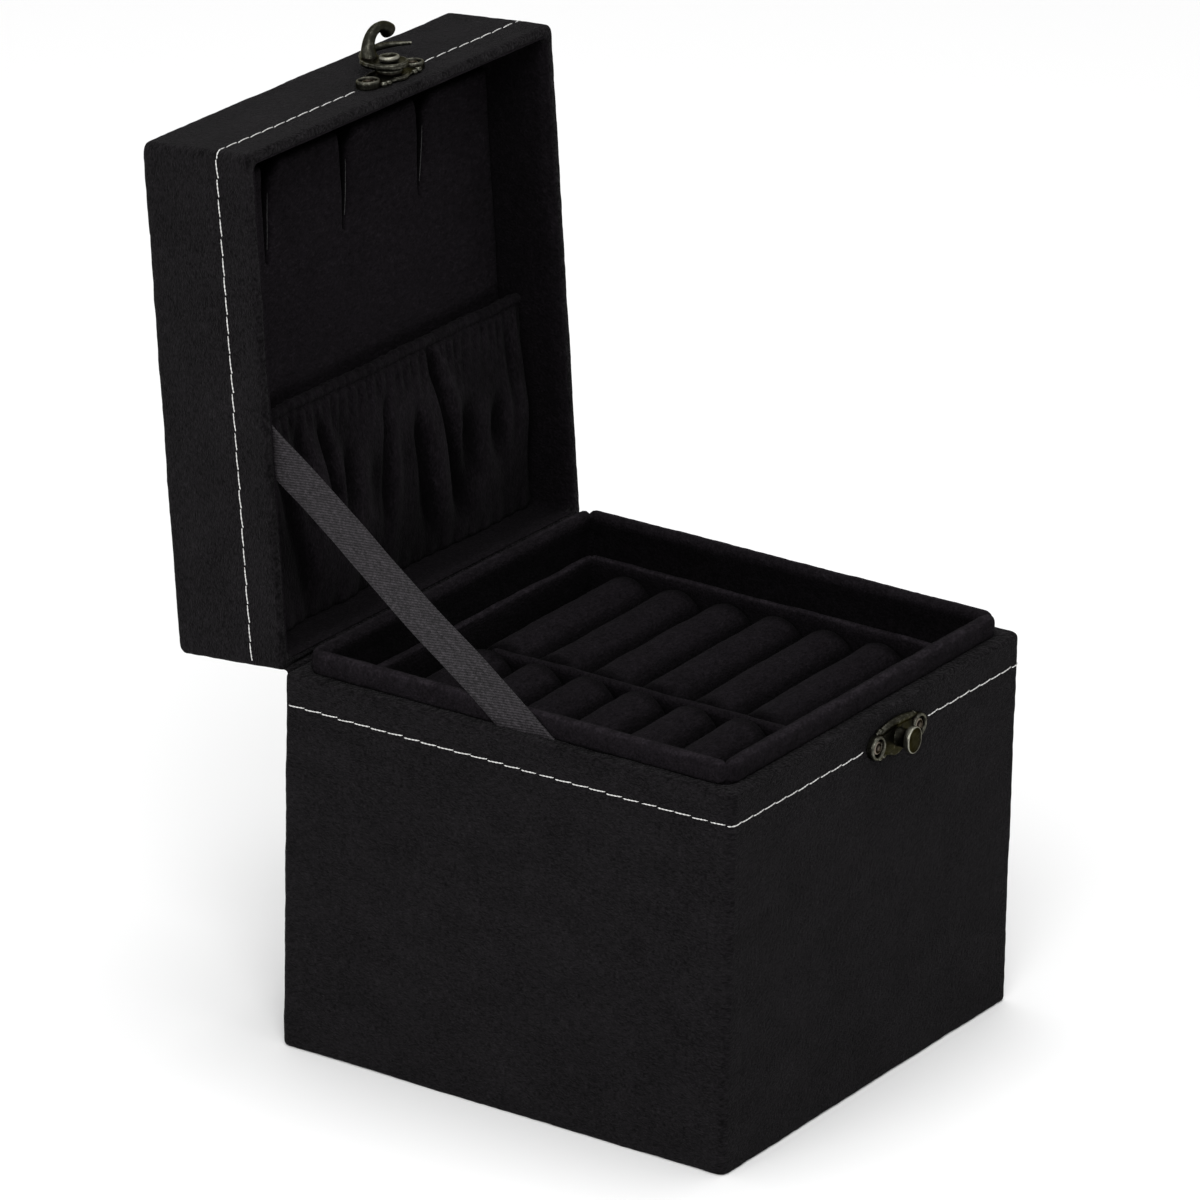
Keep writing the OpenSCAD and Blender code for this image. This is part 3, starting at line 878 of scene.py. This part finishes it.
def tray_walls(name, body, low, top, node, seed):
    """Four thin padded walls with a soft top edge that isn't quite straight."""
    profile = outline([(0, low, 0.2), (0, top, 0.95), (TRAY_T, top, 0.95), (TRAY_T, low, 0.2)], 1.8)
    shape = square_sweep([tuple(p) for p in profile], TRAY_OUT, lambda inset: 2.0 - inset * 0.6)

    def wavy(p):
        share = max(0.0, (p.z - low) / (top - low))
        p.z += share * 0.35 * bumpy((p.x, p.y, 0), 9, seed)
        return pinch_corner(p, TRAY_OUT - TRAY_T / 2, top, 0.25, 0.7)

    shape.moved(wavy)
    inner = TRAY_OUT - 1.2

    # Painted highlight along the top edge and painted shade down the inner walls.
    def painted_shade_at(p):
        painted_highlight = 0.6 * eased((p.z - top + 0.9) / 0.7) * (0.7 + 0.7 * bumpy(p, 3.0, seed + 4))
        hollow = 0.7 * eased((top - 0.8 - p.z) / 2.5) if max(abs(p.x), abs(p.y)) < inner else 0.0
        return hollow - painted_highlight

    layers = [(12, 0.14, seed + 1), (3.5, 0.09, seed + 2), (1.6, 0.04, seed + 3)]
    velvet_pad(name, shape, body, [node], layers, painted_shade_at)


def trays():
    lower_low, lower_high = box_mm("lower_tray_walls")
    top_low, top_high = box_mm("top_tray_walls")
    tray_walls("lower_tray_velvet", "lower_tray", lower_low.z, lower_high.z - 0.3, "lower_tray_walls", 61)
    tray_walls("ring_tray_velvet", "top_tray", top_low.z, top_high.z - 0.1, "top_tray_walls", 71)
    floors = (("lower_tray_base", "lower_tray", "lower_tray_floor", lower_low.z, 81),
              ("ring_tray_base", "top_tray", "top_tray_floor", top_low.z, 85))
    for name, body, node, top, seed in floors:
        flat_pad(name, TRAY_OUT, top - TRAY_T, top - 0.05, body, node, 0.0, seed)
    flat_pad("base_velvet", LINER_IN - 0.1, FLOOR_TOP, PAD_TOP - 0.3, "case", "base_pad", 0.2, 89)


def lower_dividers():
    low, high = box_mm("lower_cross_divider")
    cross = board_bar((low.x, 0), (high.x, 0), TRAY_T, low.z, high.z, 91)
    velvet_pad("cross_divider_velvet", cross, "lower_tray", ["lower_cross_divider"], [(4, 0.06, 92)])
    long_low, long_high = box_mm("lower_long_dividers")
    shape = board_bar((0, long_low.y), (0, -TRAY_T / 2 - 0.1), TRAY_T, low.z, high.z, 93)
    shape.join(board_bar((0, TRAY_T / 2 + 0.1), (0, long_high.y), TRAY_T, low.z, high.z, 95))
    velvet_pad("long_dividers_velvet", shape, "lower_tray", ["lower_long_dividers"], [(4, 0.06, 96)])


def rails():
    low, high = box_mm("tray_rails")
    thick = 2.2
    reach = high.x - thick / 2
    shape = Shape()
    for quarter in range(4):
        turn = Matrix.Rotation(quarter * pi / 2, 4, "Z")
        start, end = (1.2 - reach, -reach), (reach - 1.2, -reach)
        shape.join(board_bar(start, end, thick, low.z, high.z, 101 + quarter), turn)
    velvet_pad("rail_velvet", shape, "case", ["tray_rails"], [(5, 0.07, 105)])


def roll_section(half, low, high):
    """Half-round top on two upright sides, from one foot to the other, then back under it."""
    rise = high - half
    left = [(-half, low + 0.5 + (rise - low - 0.5) * k / 4) for k in range(4)]
    top = [(-half * cos(pi * k / 26), rise + half * sin(pi * k / 26)) for k in range(27)]
    right = [(half, z) for y, z in reversed(left)]
    under = [(half * 0.8 - half * 1.6 * k / 4, low + 0.03) for k in range(5)]
    return left + top + right + under


def ring_roll(name, node, seed):
    """A foam roll in a velvet sleeve: round on top, squeezed between its neighbours, with blunt soft ends."""
    low, high = box_mm(node)
    half = (high.y - low.y) / 2
    centre = (low.y + high.y) / 2
    section = roll_section(half, low.z, high.z)
    length = high.x - low.x
    picks = random.Random(seed)
    skew = picks.uniform(1.2, 1.9) if low.x > 0 else picks.uniform(0.3, 0.9)
    ends = [(0.0, 0.74), (0.08, 0.84), (0.35, 0.92), (0.9, 0.97), (1.8, 0.995)]
    inner = [(1.8 + (length - 3.6) * k / 28, 1.0) for k in range(1, 28)]
    rings = []
    for s, size in ends + inner + [(length - s, size) for s, size in reversed(ends)]:
        sag = 0.35 * bumpy((s, seed, 0), 17, seed)
        sway = 0.35 * bumpy((s, seed, 5), 19, seed) + skew * (s / length - 0.5)
        swell = 1 + 0.025 * bumpy((s, seed, 9), 13, seed)
        ring = []
        for y, z in section:
            share = (z - low.z) / (high.z - low.z)
            height = low.z + (z - low.z) * (1 - (1 - size) * 0.75) + (sag + 0.5 * s / length) * share
            ring.append((low.x + s, centre + y * (0.6 + 0.4 * size) * swell + sway * share, height))
        rings.append(ring)

    # Painted shade in the valleys below each roll's crest and towards its ends, where it meets the wall and
    # the divider.
    def painted_shade_at(p):
        near_end = 0.95 * eased((abs(p.x - (low.x + high.x) / 2) - length / 2 + 4.6) / 4.2)
        return max(eased((high.z - 0.3 - p.z) / 3.3) - 0.15, near_end)

    velvet_pad(name, lofted(rings), "top_tray", [node], [(9, 0.15, seed), (3, 0.10, seed + 1)], painted_shade_at)


def ring_rolls():
    for side in ("left", "right"):
        for k in range(1, 8):
            node = f"ring_roll_{side}_{k}"
            ring_roll(f"ring_cushion_{side}_{k}", node, 110 + k + (20 if side == "right" else 0))


def ring_divider():
    low, high = box_mm("ring_divider")
    x = (low.x + high.x) / 2
    shape = board_bar((x, low.y), (x, high.y), high.x - low.x, low.z, high.z, 151, wave=0.5, taper=0.9)
    # The divider's velvet gets painted shade below its top edge.
    velvet_pad("ring_divider_velvet", shape, "divider", ["ring_divider"],
               [(4, 0.08, 152), (1.8, 0.05, 153)], lambda p: 0.9 * eased((high.z - 0.9 - p.z) / 1.6))


# ---- inside of the lid

def lid_lining():
    """Velvet on the lid's walls and top, as one tray that thins at its mouth and tucks in under the suede."""
    thick = LINING_OUT - PANEL_HALF - 0.05
    insets = [4 * k for k in range(1, 14)] + [55.5]
    profile = [(inset, LINING_UNDER) for inset in insets[::-1]]
    profile += [(thick + 0.6, LINING_UNDER), (thick + 0.15, LINING_UNDER - 0.3)]
    walls = [LINING_UNDER - 1 - 2 * k for k in range(12)]
    profile += [(thick * (0.45 + 0.55 * eased((z - 5) / 4)), z) for z in walls]
    profile += [(thick * 0.45, 0.9), (thick * 0.4, 0.45), (0, 0.35), (-0.35, 0.6), (-0.3, 1.0)]
    profile += [(0, 3 + 2 * k) for k in range(11)]
    profile += [(0, LINING_UNDER + 0.45)] + [(inset, LINING_UNDER + 0.45) for inset in insets]
    shape = square_sweep(profile, LINING_OUT, lambda inset: min(1.4, max(0.4, LINING_OUT - inset - 0.5)),
                         closed=False)
    piece = to_object("lid_velvet", shape, LID_MIDDLE, VELVET)
    # Painted shade that deepens from the lid's mouth up into the lid.
    paint_shading(piece, lambda p: 0.45 * eased((p.z - 1.5) / 4))
    roughen(piece, (13, 0.06, 161), (4, 0.03, 162))
    finish_piece(piece, "lid", "velvet", "lid_lining")


SLITS = (-30.0, 0.0, 30.0)
SLIT_FOOT = -86.0
SLIT_LEAN = 2.2
PANEL_DIP = 1.7


def slit_edges(top_x, y):
    """Left and right edge of a slit at y: a narrow V with its right lip curled over at the open end."""
    t = min(1.0, max(0.0, (SLIT_FOOT - y) / (SLIT_FOOT - PANEL_END)))
    centre = top_x - SLIT_LEAN * (1 - t) + 0.25 * sin(t * 5 + top_x)
    half = 0.14 + 1.25 * t ** 0.8
    lip = 3.4 * max(0.0, (t - 0.84) / 0.16) ** 1.6
    return centre - half - 0.12 * lip, centre + half + lip


def slit_trim():
    """The cut edge of the backing along the right side of each slit: a pale strip that is partly the foam's
    own colour and partly a painted glint.
    """
    shape = Shape()
    for top_x in SLITS:
        path = []
        for k in range(25):
            y = SLIT_FOOT + (PANEL_END - SLIT_FOOT) * (0.12 + 0.58 * k / 24)
            path.append(Vector((slit_edges(top_x, y)[1] + 0.12, y, PANEL_FACE + 0.85)))
        shape.join(tube(path, [0.08 - 0.03 * abs(k - 12) / 12 for k in range(25)], 6))
    piece = to_object("slit_cut_edge_glints", shape, LID, FOAM)
    finish_piece(piece, "lid", "foam")


def panel_rows():
    """The panel's rows along y, closer together at its ends and along the slits."""
    rows = {PANEL_END + d for d in (0, 0.15, 0.4, 0.8, 1.3, 2.0, 2.7, 3.4)}
    rows |= {PANEL_END + 4.0 + 0.75 * k for k in range(30)}
    rows |= {SLIT_FOOT + 4.0 + 2.5 * k for k in range(1, 33)}
    rows |= {PANEL_START - d for d in (0, 0.2, 0.6, 1.2, 2.2)}
    return sorted(y for y in {round(y, 3) for y in rows} if y <= PANEL_START)


def panel_row(y):
    """Places across the panel at y: four parts with a slit between each two."""
    shares = [0, 0.006, 0.02, 0.045, 0.09] + [0.09 + 0.82 * k / 16 for k in range(1, 16)]
    shares += [0.91, 0.955, 0.98, 0.994, 1]
    edges = [-PANEL_HALF]
    for x in SLITS:
        edges.extend(slit_edges(x, y))
    edges.append(PANEL_HALF)
    return [left + (right - left) * t for left, right in zip(edges[::2], edges[1::2]) for t in shares]


def panel_face(x, y):
    """Height of the panel's face, which rounds down at its edges and along each slit."""
    near = min(x + PANEL_HALF, PANEL_HALF - x, y - PANEL_END, PANEL_START - y)
    for top_x in SLITS:
        left, right = slit_edges(top_x, min(y, SLIT_FOOT))
        aside = max(left - x, x - right, 0.0)
        near = min(near, hypot(aside, max(0.0, y - SLIT_FOOT) * 1.5))
    near = min(max(near, 0.0), PANEL_DIP)
    drop = PANEL_DIP - sqrt(max(0.0, PANEL_DIP ** 2 - (PANEL_DIP - near) ** 2))
    return PANEL_FACE + drop + 0.35 * bumpy((x, y, 0), 24, 171)


def necklace_panel():
    """Foam board in velvet, cut through along its slits."""
    rows = panel_rows()
    columns = [panel_row(y) for y in rows]
    across = len(columns[0])
    part = across // (len(SLITS) + 1)
    shape = Shape()
    face, back = {}, {}
    for r, y in enumerate(rows):
        for c, x in enumerate(columns[r]):
            face[r, c] = len(shape.points)
            back[r, c] = face[r, c] + 1
            shape.points += [Vector((x, y, panel_face(x, y))), Vector((x, y, PANEL_BACK))]
    kept = [(r, c) for r in range(len(rows) - 1) for c in range(across - 1)
            if (c + 1) % part or rows[r] >= SLIT_FOOT]
    cells = set(kept)
    for r, c in kept:
        shape.faces.append((face[r, c], face[r, c + 1], face[r + 1, c + 1], face[r + 1, c]))
        shape.faces.append((back[r, c], back[r + 1, c], back[r + 1, c + 1], back[r, c + 1]))
        for beside, a, b in (((r - 1, c), (r, c), (r, c + 1)), ((r + 1, c), (r + 1, c), (r + 1, c + 1)),
                             ((r, c - 1), (r, c), (r + 1, c)), ((r, c + 1), (r, c + 1), (r + 1, c + 1))):
            if beside not in cells:
                shape.faces.append((face[a], face[b], back[b], back[a]))

    # Painted shadow of the hem on the panel, and painted shade where the panel rounds down along its slits
    # and edges.
    def painted_shade_at(p):
        hem_shadow = 0.65 * exp(-((p.y - POCKET_HEM + 0.6) / 1.1) ** 2)
        return max(eased((p.z - PANEL_FACE - 0.7) / 0.9), hem_shadow) - 0.14

    velvet_pad("necklace_velvet", shape, "lid", ["necklace_panel"], [(11, 0.12, 172), (4, 0.06, 173)],
               painted_shade_at, LID)


PUCKER_PITCH = 3.4


def pocket_folds():
    """Long loose folds: place, lean, bend, width, depth and the heights where each begins and ends."""
    picks = random.Random(29)
    folds = []
    x = -PANEL_HALF + 5
    while x < PANEL_HALF - 4:
        folds.append((x, picks.uniform(-5, 8), picks.uniform(-1.8, 1.8), picks.uniform(1.5, 3.2),
                      picks.uniform(1.2, 2.7), picks.uniform(-0.12, 0.3), picks.uniform(0.55, 1.0)))
        x += picks.uniform(6.0, 13.0)
    return folds


def pocket_crest(v):
    """How far the pocket's fullness stands out, without its folds."""
    return 3.3 * sin(pi * min(1.0, 0.06 + 0.86 * v)) ** 0.8


def pocket_height(folds, x, v):
    """How far the pocket stands out from the panel at x, for v from 0 at the hem to 1 at its foot."""
    side = eased((PANEL_HALF - abs(x)) / 4.0)
    height = pocket_crest(v)
    height += 1.5 * eased(v * 3) * bumpy((x - 7 * v, v * 34, 0), 15, 181)
    height += 0.45 * eased(v * 5) * bumpy((x - 5 * v, v * 20, 3), 5, 188)
    for place, lean, bend, width, depth, start, end in folds:
        shown = eased((v - start) / 0.22) * (1 - eased((v - end + 0.28) / 0.28))
        if shown <= 0:
            continue
        middle = place + lean * v + bend * sin(4 * v + place)
        spread = width * (0.6 + 0.9 * v)
        off = (x - middle) / spread
        height -= depth * shown * exp(-off * off)
        height += 0.4 * depth * shown * exp(-((off - 1.9) / 1.4) ** 2)
    warp = x + 1.6 * bumpy((x, 0, 0), 11, 184) + 12 * v
    pucker = 0.55 * cos(2 * pi * warp / PUCKER_PITCH) * (0.75 + 0.5 * bumpy((x, 0, 2), 9, 183))
    height += pucker * exp(-(v / 0.13) ** 1.5) * eased(v / 0.03)
    foot = 0.25 * cos(2 * pi * x / 5.3) * exp(-((1 - v) / 0.08) ** 2)
    return max(0.0, side * (height + foot))


def hem_scale(x):
    """How full the hem's roll is, which swells and thins with the puckers."""
    return 1 + 0.09 * cos(2 * pi * x / PUCKER_PITCH + 2.5 * bumpy((x, 0, 0), 9, 185))


def hem_dip(x):
    """The elastic's own waver along the panel."""
    return 0.4 * bumpy((x, 0, 6), 13, 189) + 0.28 * bumpy((x, 0, 8), 4, 190)


def hem_wave(x):
    """How far the hem stands off the panel."""
    return 0.35 * bumpy((x, 0, 0), 10, 186) + 0.2 * bumpy((x, 0, 4), 3.5, 187)


def pocket():
    """Gathered velvet pocket: an elastic hem at its mouth, with puckers that open into loose folds."""
    half = PANEL_HALF - 0.1
    across = [-half + 2 * half * k / 300 for k in range(301)]
    hem_r = 1.15
    base = PANEL_FACE - 4.2
    foot = PANEL_START - 0.1
    drop = foot - POCKET_HEM - hem_r
    folds = pocket_folds()
    rows = []
    for k in range(9):
        a = pi * (1.5 - 1.35 * k / 8)
        rows.append([(x, POCKET_HEM + hem_dip(x) + hem_r * cos(a) * hem_scale(x),
                      base + hem_wave(x) - hem_r * sin(a) * hem_scale(x)) for x in across])
    for k in range(1, 57):
        v = k / 56
        y = POCKET_HEM + hem_r + drop * v
        fade = exp(-v / 0.15)
        rows.append([(x, y + hem_dip(x) * fade, base + hem_wave(x) * fade - pocket_height(folds, x, v) - 0.3)
                     for x in across])
    shape = Shape()
    for row in rows:
        shape.add_ring(row)
    for r in range(len(rows) - 1):
        for c in range(len(across) - 1):
            a = r * len(across) + c
            shape.faces.append((a, a + 1, a + 1 + len(across), a + len(across)))
    piece = to_object("pocket_velvet", shape, LID, POCKET_CLOTH)
    thick = piece.modifiers.new("thickness", "SOLIDIFY")
    thick.thickness = 0.45 * MM
    thick.offset = 0
    bpy.context.view_layer.update()
    apply_modifiers(piece)
    piece.data.shade_smooth()
    remember_rest(piece, LID)

    # Painted shade in the fold valleys and painted highlight on the ridges.
    def painted_shade_at(p):
        v = (p.y - POCKET_HEM - hem_r) / drop
        if v <= 0:
            return 0.0
        return min(1.0, max(-0.3, 0.45 * (pocket_crest(v) - pocket_height(folds, p.x, v))))

    paint_shading(piece, painted_shade_at)
    finish_piece(piece, "lid", "pocket_cloth", "pocket", "pocket_elastic")


# ---- ribbon

RIBBON_SLOPE = radians(36.25)
RIBBON_WIDTH = 9.3
RIBBON_THICK = 0.32
RIBBON_FOOT_Y = -3.4
LEDGE_REACH = 0.4
LID_REACH = 4.9


def ribbon():
    """Woven ribbon from under the ledge, up past the lid's rim and on to the lid's left wall."""
    low, high = box_mm("lid_ribbon")
    along = Vector((0, cos(RIBBON_SLOPE), sin(RIBBON_SLOPE)))
    wide = Vector((0, -sin(RIBBON_SLOPE), cos(RIBBON_SLOPE)))
    foot = Vector(((low.x + high.x) / 2, RIBBON_FOOT_Y, CASE_H))
    to_lid = LID.inverted()
    depth_per_mm = (to_lid @ (foot + along)).z - (to_lid @ foot).z
    steps, across = 96, 14
    rows, weave = [], []
    for i in range(steps + 1):
        row = []
        for side in (1, -1):
            for k in range(across + 1)[::side]:
                u = (k / across - 0.5) * RIBBON_WIDTH
                start = (-LEDGE_REACH - wide.z * u) / along.z
                end = (LID_REACH - (to_lid @ (foot + wide * u)).z) / depth_per_mm
                s = start + (end - start) * i / steps
                p = foot + along * s + wide * u
                free = eased((s - start) / 12) * eased((end - s) / 12)
                p.x += free * (0.35 * sin(s / 9.5 + 0.6) + 0.25 * bumpy((s, u, 0), 9, 191))
                p.x -= 0.12 * (1 - eased((s - start - 8) / 20))
                selvage = 1.3 if k in (0, across) else 1.0
                p.x += 0.12 * cos(pi * u / RIBBON_WIDTH) + side * RIBBON_THICK / 2 * selvage
                row.append(p)
                weave.append((u, s, side))
        rows.append(row)
    shape = lofted(rows)
    piece = to_object("ribbon_stay", shape, CASE, RIBBON)
    write_places(piece, "weave", weave)
    finish_piece(piece, "case", "ribbon", "lid_ribbon")
    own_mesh(piece)


# ---- latch

HOOK_BOSS = 2.62
PLAIN_BOSS = 1.4


def plate_shape(boss):
    """Cast plate: two nail cups, a round middle, a rolled upper edge from cup to cup, and small lobes."""
    shape = lathe([(0, 0.02), (4.2, 0.02), (4.5, 0.35), (4.5, 0.95), (4.2, 1.3), (3.6, 1.42), (0, 1.42)])
    if boss > PLAIN_BOSS:
        shape.join(lathe([(0, 1.0), (3.0, 1.0), (3.0, boss - 0.35), (2.8, boss - 0.05), (2.3, boss),
                          (0, boss)]))
    cup = lathe([(0, 0.02), (2.6, 0.02), (2.85, 0.3), (2.85, 1.5), (2.7, 1.9), (2.4, 2.05), (2.15, 1.9),
                 (2.0, 1.5), (1.95, 0.95), (0, 0.9)], 36)
    lobe = lathe([(0, 0.02), (0.85, 0.05), (0.95, 0.7), (0.7, 1.2), (0, 1.3)], 20)
    flattened = Matrix.Diagonal((1, 1, 0.26, 1)) @ Matrix.Translation((0, 0, 2.0))
    for side in (-1, 1):
        shape.join(cup, Matrix.Translation((side * NAIL_SPACING / 2, 0, 0)))
        bar = [Vector((side * x, 0, 0.6)) for x in (1.5, 3.0, 4.4, 5.6, 7.0)]
        shape.join(tube(bar, [3.9, 3.7, 3.3, 3.1, 2.8], 24), flattened)
        for up in (-1, 1):
            shape.join(lobe, Matrix.Translation((side * 5.0, up * 2.9, -0.05)))
            shape.join(lobe, Matrix.Translation((side * 6.8, up * 2.9, 0.1)))
    arch = [sin(pi * k / 24) for k in range(25)]
    edge = [Vector((-8.2 + 16.4 * k / 24, 2.7 + 0.9 * rise, 0.7)) for k, rise in enumerate(arch)]
    shape.join(tube(edge, [0.4 + 0.6 * rise ** 0.4 for rise in arch]))
    return shape


def latch_plate(name, placed, body, node, boss):
    piece = to_object(name, plate_shape(boss), placed, BRONZE)
    cast_in_one(piece, placed, 0.13)
    rub_edges(piece)
    finish_piece(piece, body, "bronze", node)


def nails(name, placed, body, node):
    """Two domed nail heads, each with a ring round its crown and a shank."""
    head = lathe([(0, -1.6), (0.5, -1.5), (0.55, 0.85), (1.35, 0.92), (1.62, 1.1), (1.62, 1.35),
                  (1.3, 1.62), (1.05, 1.55), (0.9, 1.62), (0.5, 1.9), (0, 1.98)], 36)
    shape = Shape()
    for side in (-1, 1):
        shape.join(head, Matrix.Translation((side * NAIL_SPACING / 2, 0, 0)))
    piece = to_object(name, shape, placed, NAIL)
    rub_edges(piece, 1)
    finish_piece(piece, body, "nail", node)


HOOK_UNDER = 2.72
HOOK_TOP = 4.2
HOOK_MIDDLE = (HOOK_UNDER + HOOK_TOP) / 2


def rivet():
    """The hook's rivet: a shank under a flat head with a rolled rim and a sunk middle."""
    head = [(1.58, -0.02), (2.0, 0), (2.32, 0.12), (2.35, 0.7), (2.3, 1.05), (2.1, 1.2), (1.75, 1.22),
            (1.45, 1.1), (1.2, 0.85), (0.6, 0.8), (0, 0.8)]
    profile = [(0, -1.0), (1.55, -1.0)] + [(radius, HOOK_TOP + 0.07 + z) for radius, z in head]
    piece = to_object("rivet_head", lathe(profile, 48), ON_LID_FRONT, BRONZE)
    rub_edges(piece, 4)
    finish_piece(piece, "lid", "bronze", "hook_rivet")


def stadium(width, height, z, lift=0.0):
    """An upright oval with straight sides, in 48 points."""
    radius = width / 2
    straight = (height - width) / 2
    turns = [2 * pi * k / 48 for k in range(48)]
    return [(radius * cos(a), radius * sin(a) + copysign(straight, sin(a)) + lift, z) for a in turns]


def catch_post():
    """Round neck under an oval cap whose flat face lies just below its rim."""
    neck = [(4.7, -1.0), (4.6, 1.2), (4.4, 2.0), (4.3, 2.6), (4.4, 3.6), (4.6, 4.0)]
    cap = [(4.9, 5.4, 4.2), (5.2, 5.9, 4.4), (5.4, 6.2, 4.8), (5.5, 6.3, 5.4), (5.45, 6.25, 5.72),
           (5.3, 6.1, 5.86), (5.1, 5.9, 5.88), (4.8, 5.6, 5.82), (3.0, 3.8, 5.8), (0.3, 0.4, 5.8)]
    shape = lofted([stadium(d, d, z) for d, z in neck] + [stadium(*ring, lift=0.15) for ring in cap])
    piece = to_object("catch_button", shape, ON_CASE_FRONT, BRONZE)
    rub_edges(piece, 1)
    finish_piece(piece, "case", "bronze", "catch_post")


def hook_disc():
    """The pierced disc round the rivet, with pads that lead up into the horn's foot."""
    shape = lathe([(1.68, HOOK_UNDER), (4.0, HOOK_UNDER), (4.35, HOOK_UNDER + 0.3), (4.45, HOOK_MIDDLE),
                   (4.35, HOOK_TOP - 0.2), (4.0, HOOK_TOP + 0.1), (3.6, HOOK_TOP - 0.05),
                   (1.68, HOOK_TOP - 0.1)], 48)
    for x, y, radius in ((-1.0, 1.4, 3.4), (-0.9, 3.1, 3.1), (-0.2, 4.8, 2.8)):
        pad = lathe([(0, HOOK_UNDER), (radius - 0.4, HOOK_UNDER), (radius, HOOK_MIDDLE),
                     (radius - 0.2, HOOK_TOP - 0.1), (radius - 0.7, HOOK_TOP), (0, HOOK_TOP - 0.1)], 36)
        shape.join(pad, Matrix.Translation((x, y, 0)))
    return shape


def hook_arm():
    """The crescent: a flat arm between two arcs that narrows to a point."""
    outer, inner = Vector((8.0, 2.0)), Vector((8.4, 1.6))
    steps = 48
    rings = []
    for k in range(steps + 1):
        a = radians(206 - 182 * k / steps)
        to_end = steps + 1 - k
        heading = Vector((cos(a), sin(a)))
        far = outer + heading * 10
        near = inner + heading * (8.6 - 2.6 * exp(-(k / 15) ** 2))
        half_w = max(0.3, (far - near).length / 2 * min(1.0, to_end / 5))
        high = (HOOK_TOP - HOOK_UNDER) / 2 * min(1.0, 0.5 + to_end / 24)
        ring = []
        for j in range(20):
            b = 2 * pi * j / 20
            wide = half_w * copysign(abs(cos(b)) ** 0.7, cos(b))
            deep = high * copysign(abs(sin(b)) ** 0.7, sin(b))
            q = (far + near) / 2 + heading * wide
            ring.append((q.x, q.y, HOOK_MIDDLE + deep))
        rings.append(ring)
    return lofted(rings)


def hook_horn():
    """The curled horn to lift the hook by, thick at its foot and swelling to a blunt end."""
    path, radii = [], []
    for k in range(37):
        t = k / 36
        a = radians(203 - 158 * t)
        path.append(Vector((5.9 + 5.3 * cos(a), 7.0 - 1.2 * (1 - t) ** 2, 4.6 + 5.1 * sin(a))))
        radii.append(2.0 - 0.8 * sin(pi * min(1, t * 0.72)) + 2.0 * max(0, t - 0.75) + 1.2 * exp(-t / 0.07))
    end, size = path[-1], radii[-1]
    tip = (end - path[-2]).normalized()
    for ahead, share in ((0.35, 1.0), (0.6, 0.82), (0.72, 0.4), (0.76, 0.05)):
        path.append(end + tip * ahead)
        radii.append(size * share)
    return tube(path, radii, 24)


def hook():
    shape = hook_disc()
    shape.join(hook_arm())
    shape.join(hook_horn())
    shape.moved(lambda p: (p.x, p.y, max(p.z, HOOK_UNDER)))
    piece = to_object("lift_hook", shape, ON_LID_FRONT, BRONZE)
    cast_in_one(piece, ON_LID_FRONT, 0.12)
    rub_edges(piece)
    finish_piece(piece, "hook", "bronze", "hook")


def latch():
    latch_plate("hook_backplate", ON_LID_FRONT, "lid", "hook_plate", HOOK_BOSS)
    latch_plate("catch_backplate", ON_CASE_FRONT, "case", "catch_plate", PLAIN_BOSS)
    nails("hook_nail_heads", ON_LID_FRONT, "lid", "hook_nails")
    nails("catch_nail_heads", ON_CASE_FRONT, "case", "catch_nails")
    rivet()
    catch_post()
    hook()


# ---- whole object

def hidden_structure():
    """Boards and foam that stay as the CAD made them, under their covers."""
    for name, node in frame["nodes"].items():
        if name.endswith("_board") or name == "panel_spacers":
            node.data.materials.clear()
            node.data.materials.append(FOAM if name == "panel_spacers" else BOARD)


def build():
    camera()
    studio()
    hidden_structure()
    case_cover()
    lid_cover()
    back_skin()
    bottom_paper()
    stitch_line("case_stitches", CASE, "case", CASE_STITCH_Z, "case_stitching", 5)
    stitch_line("lid_stitches", LID_MIDDLE, "lid", LID_STITCH_Z, "lid_stitching", 6)
    liner_velvet()
    rails()
    trays()
    lower_dividers()
    ring_rolls()
    ring_divider()
    lid_lining()
    necklace_panel()
    slit_trim()
    pocket()
    ribbon()
    latch()


build()
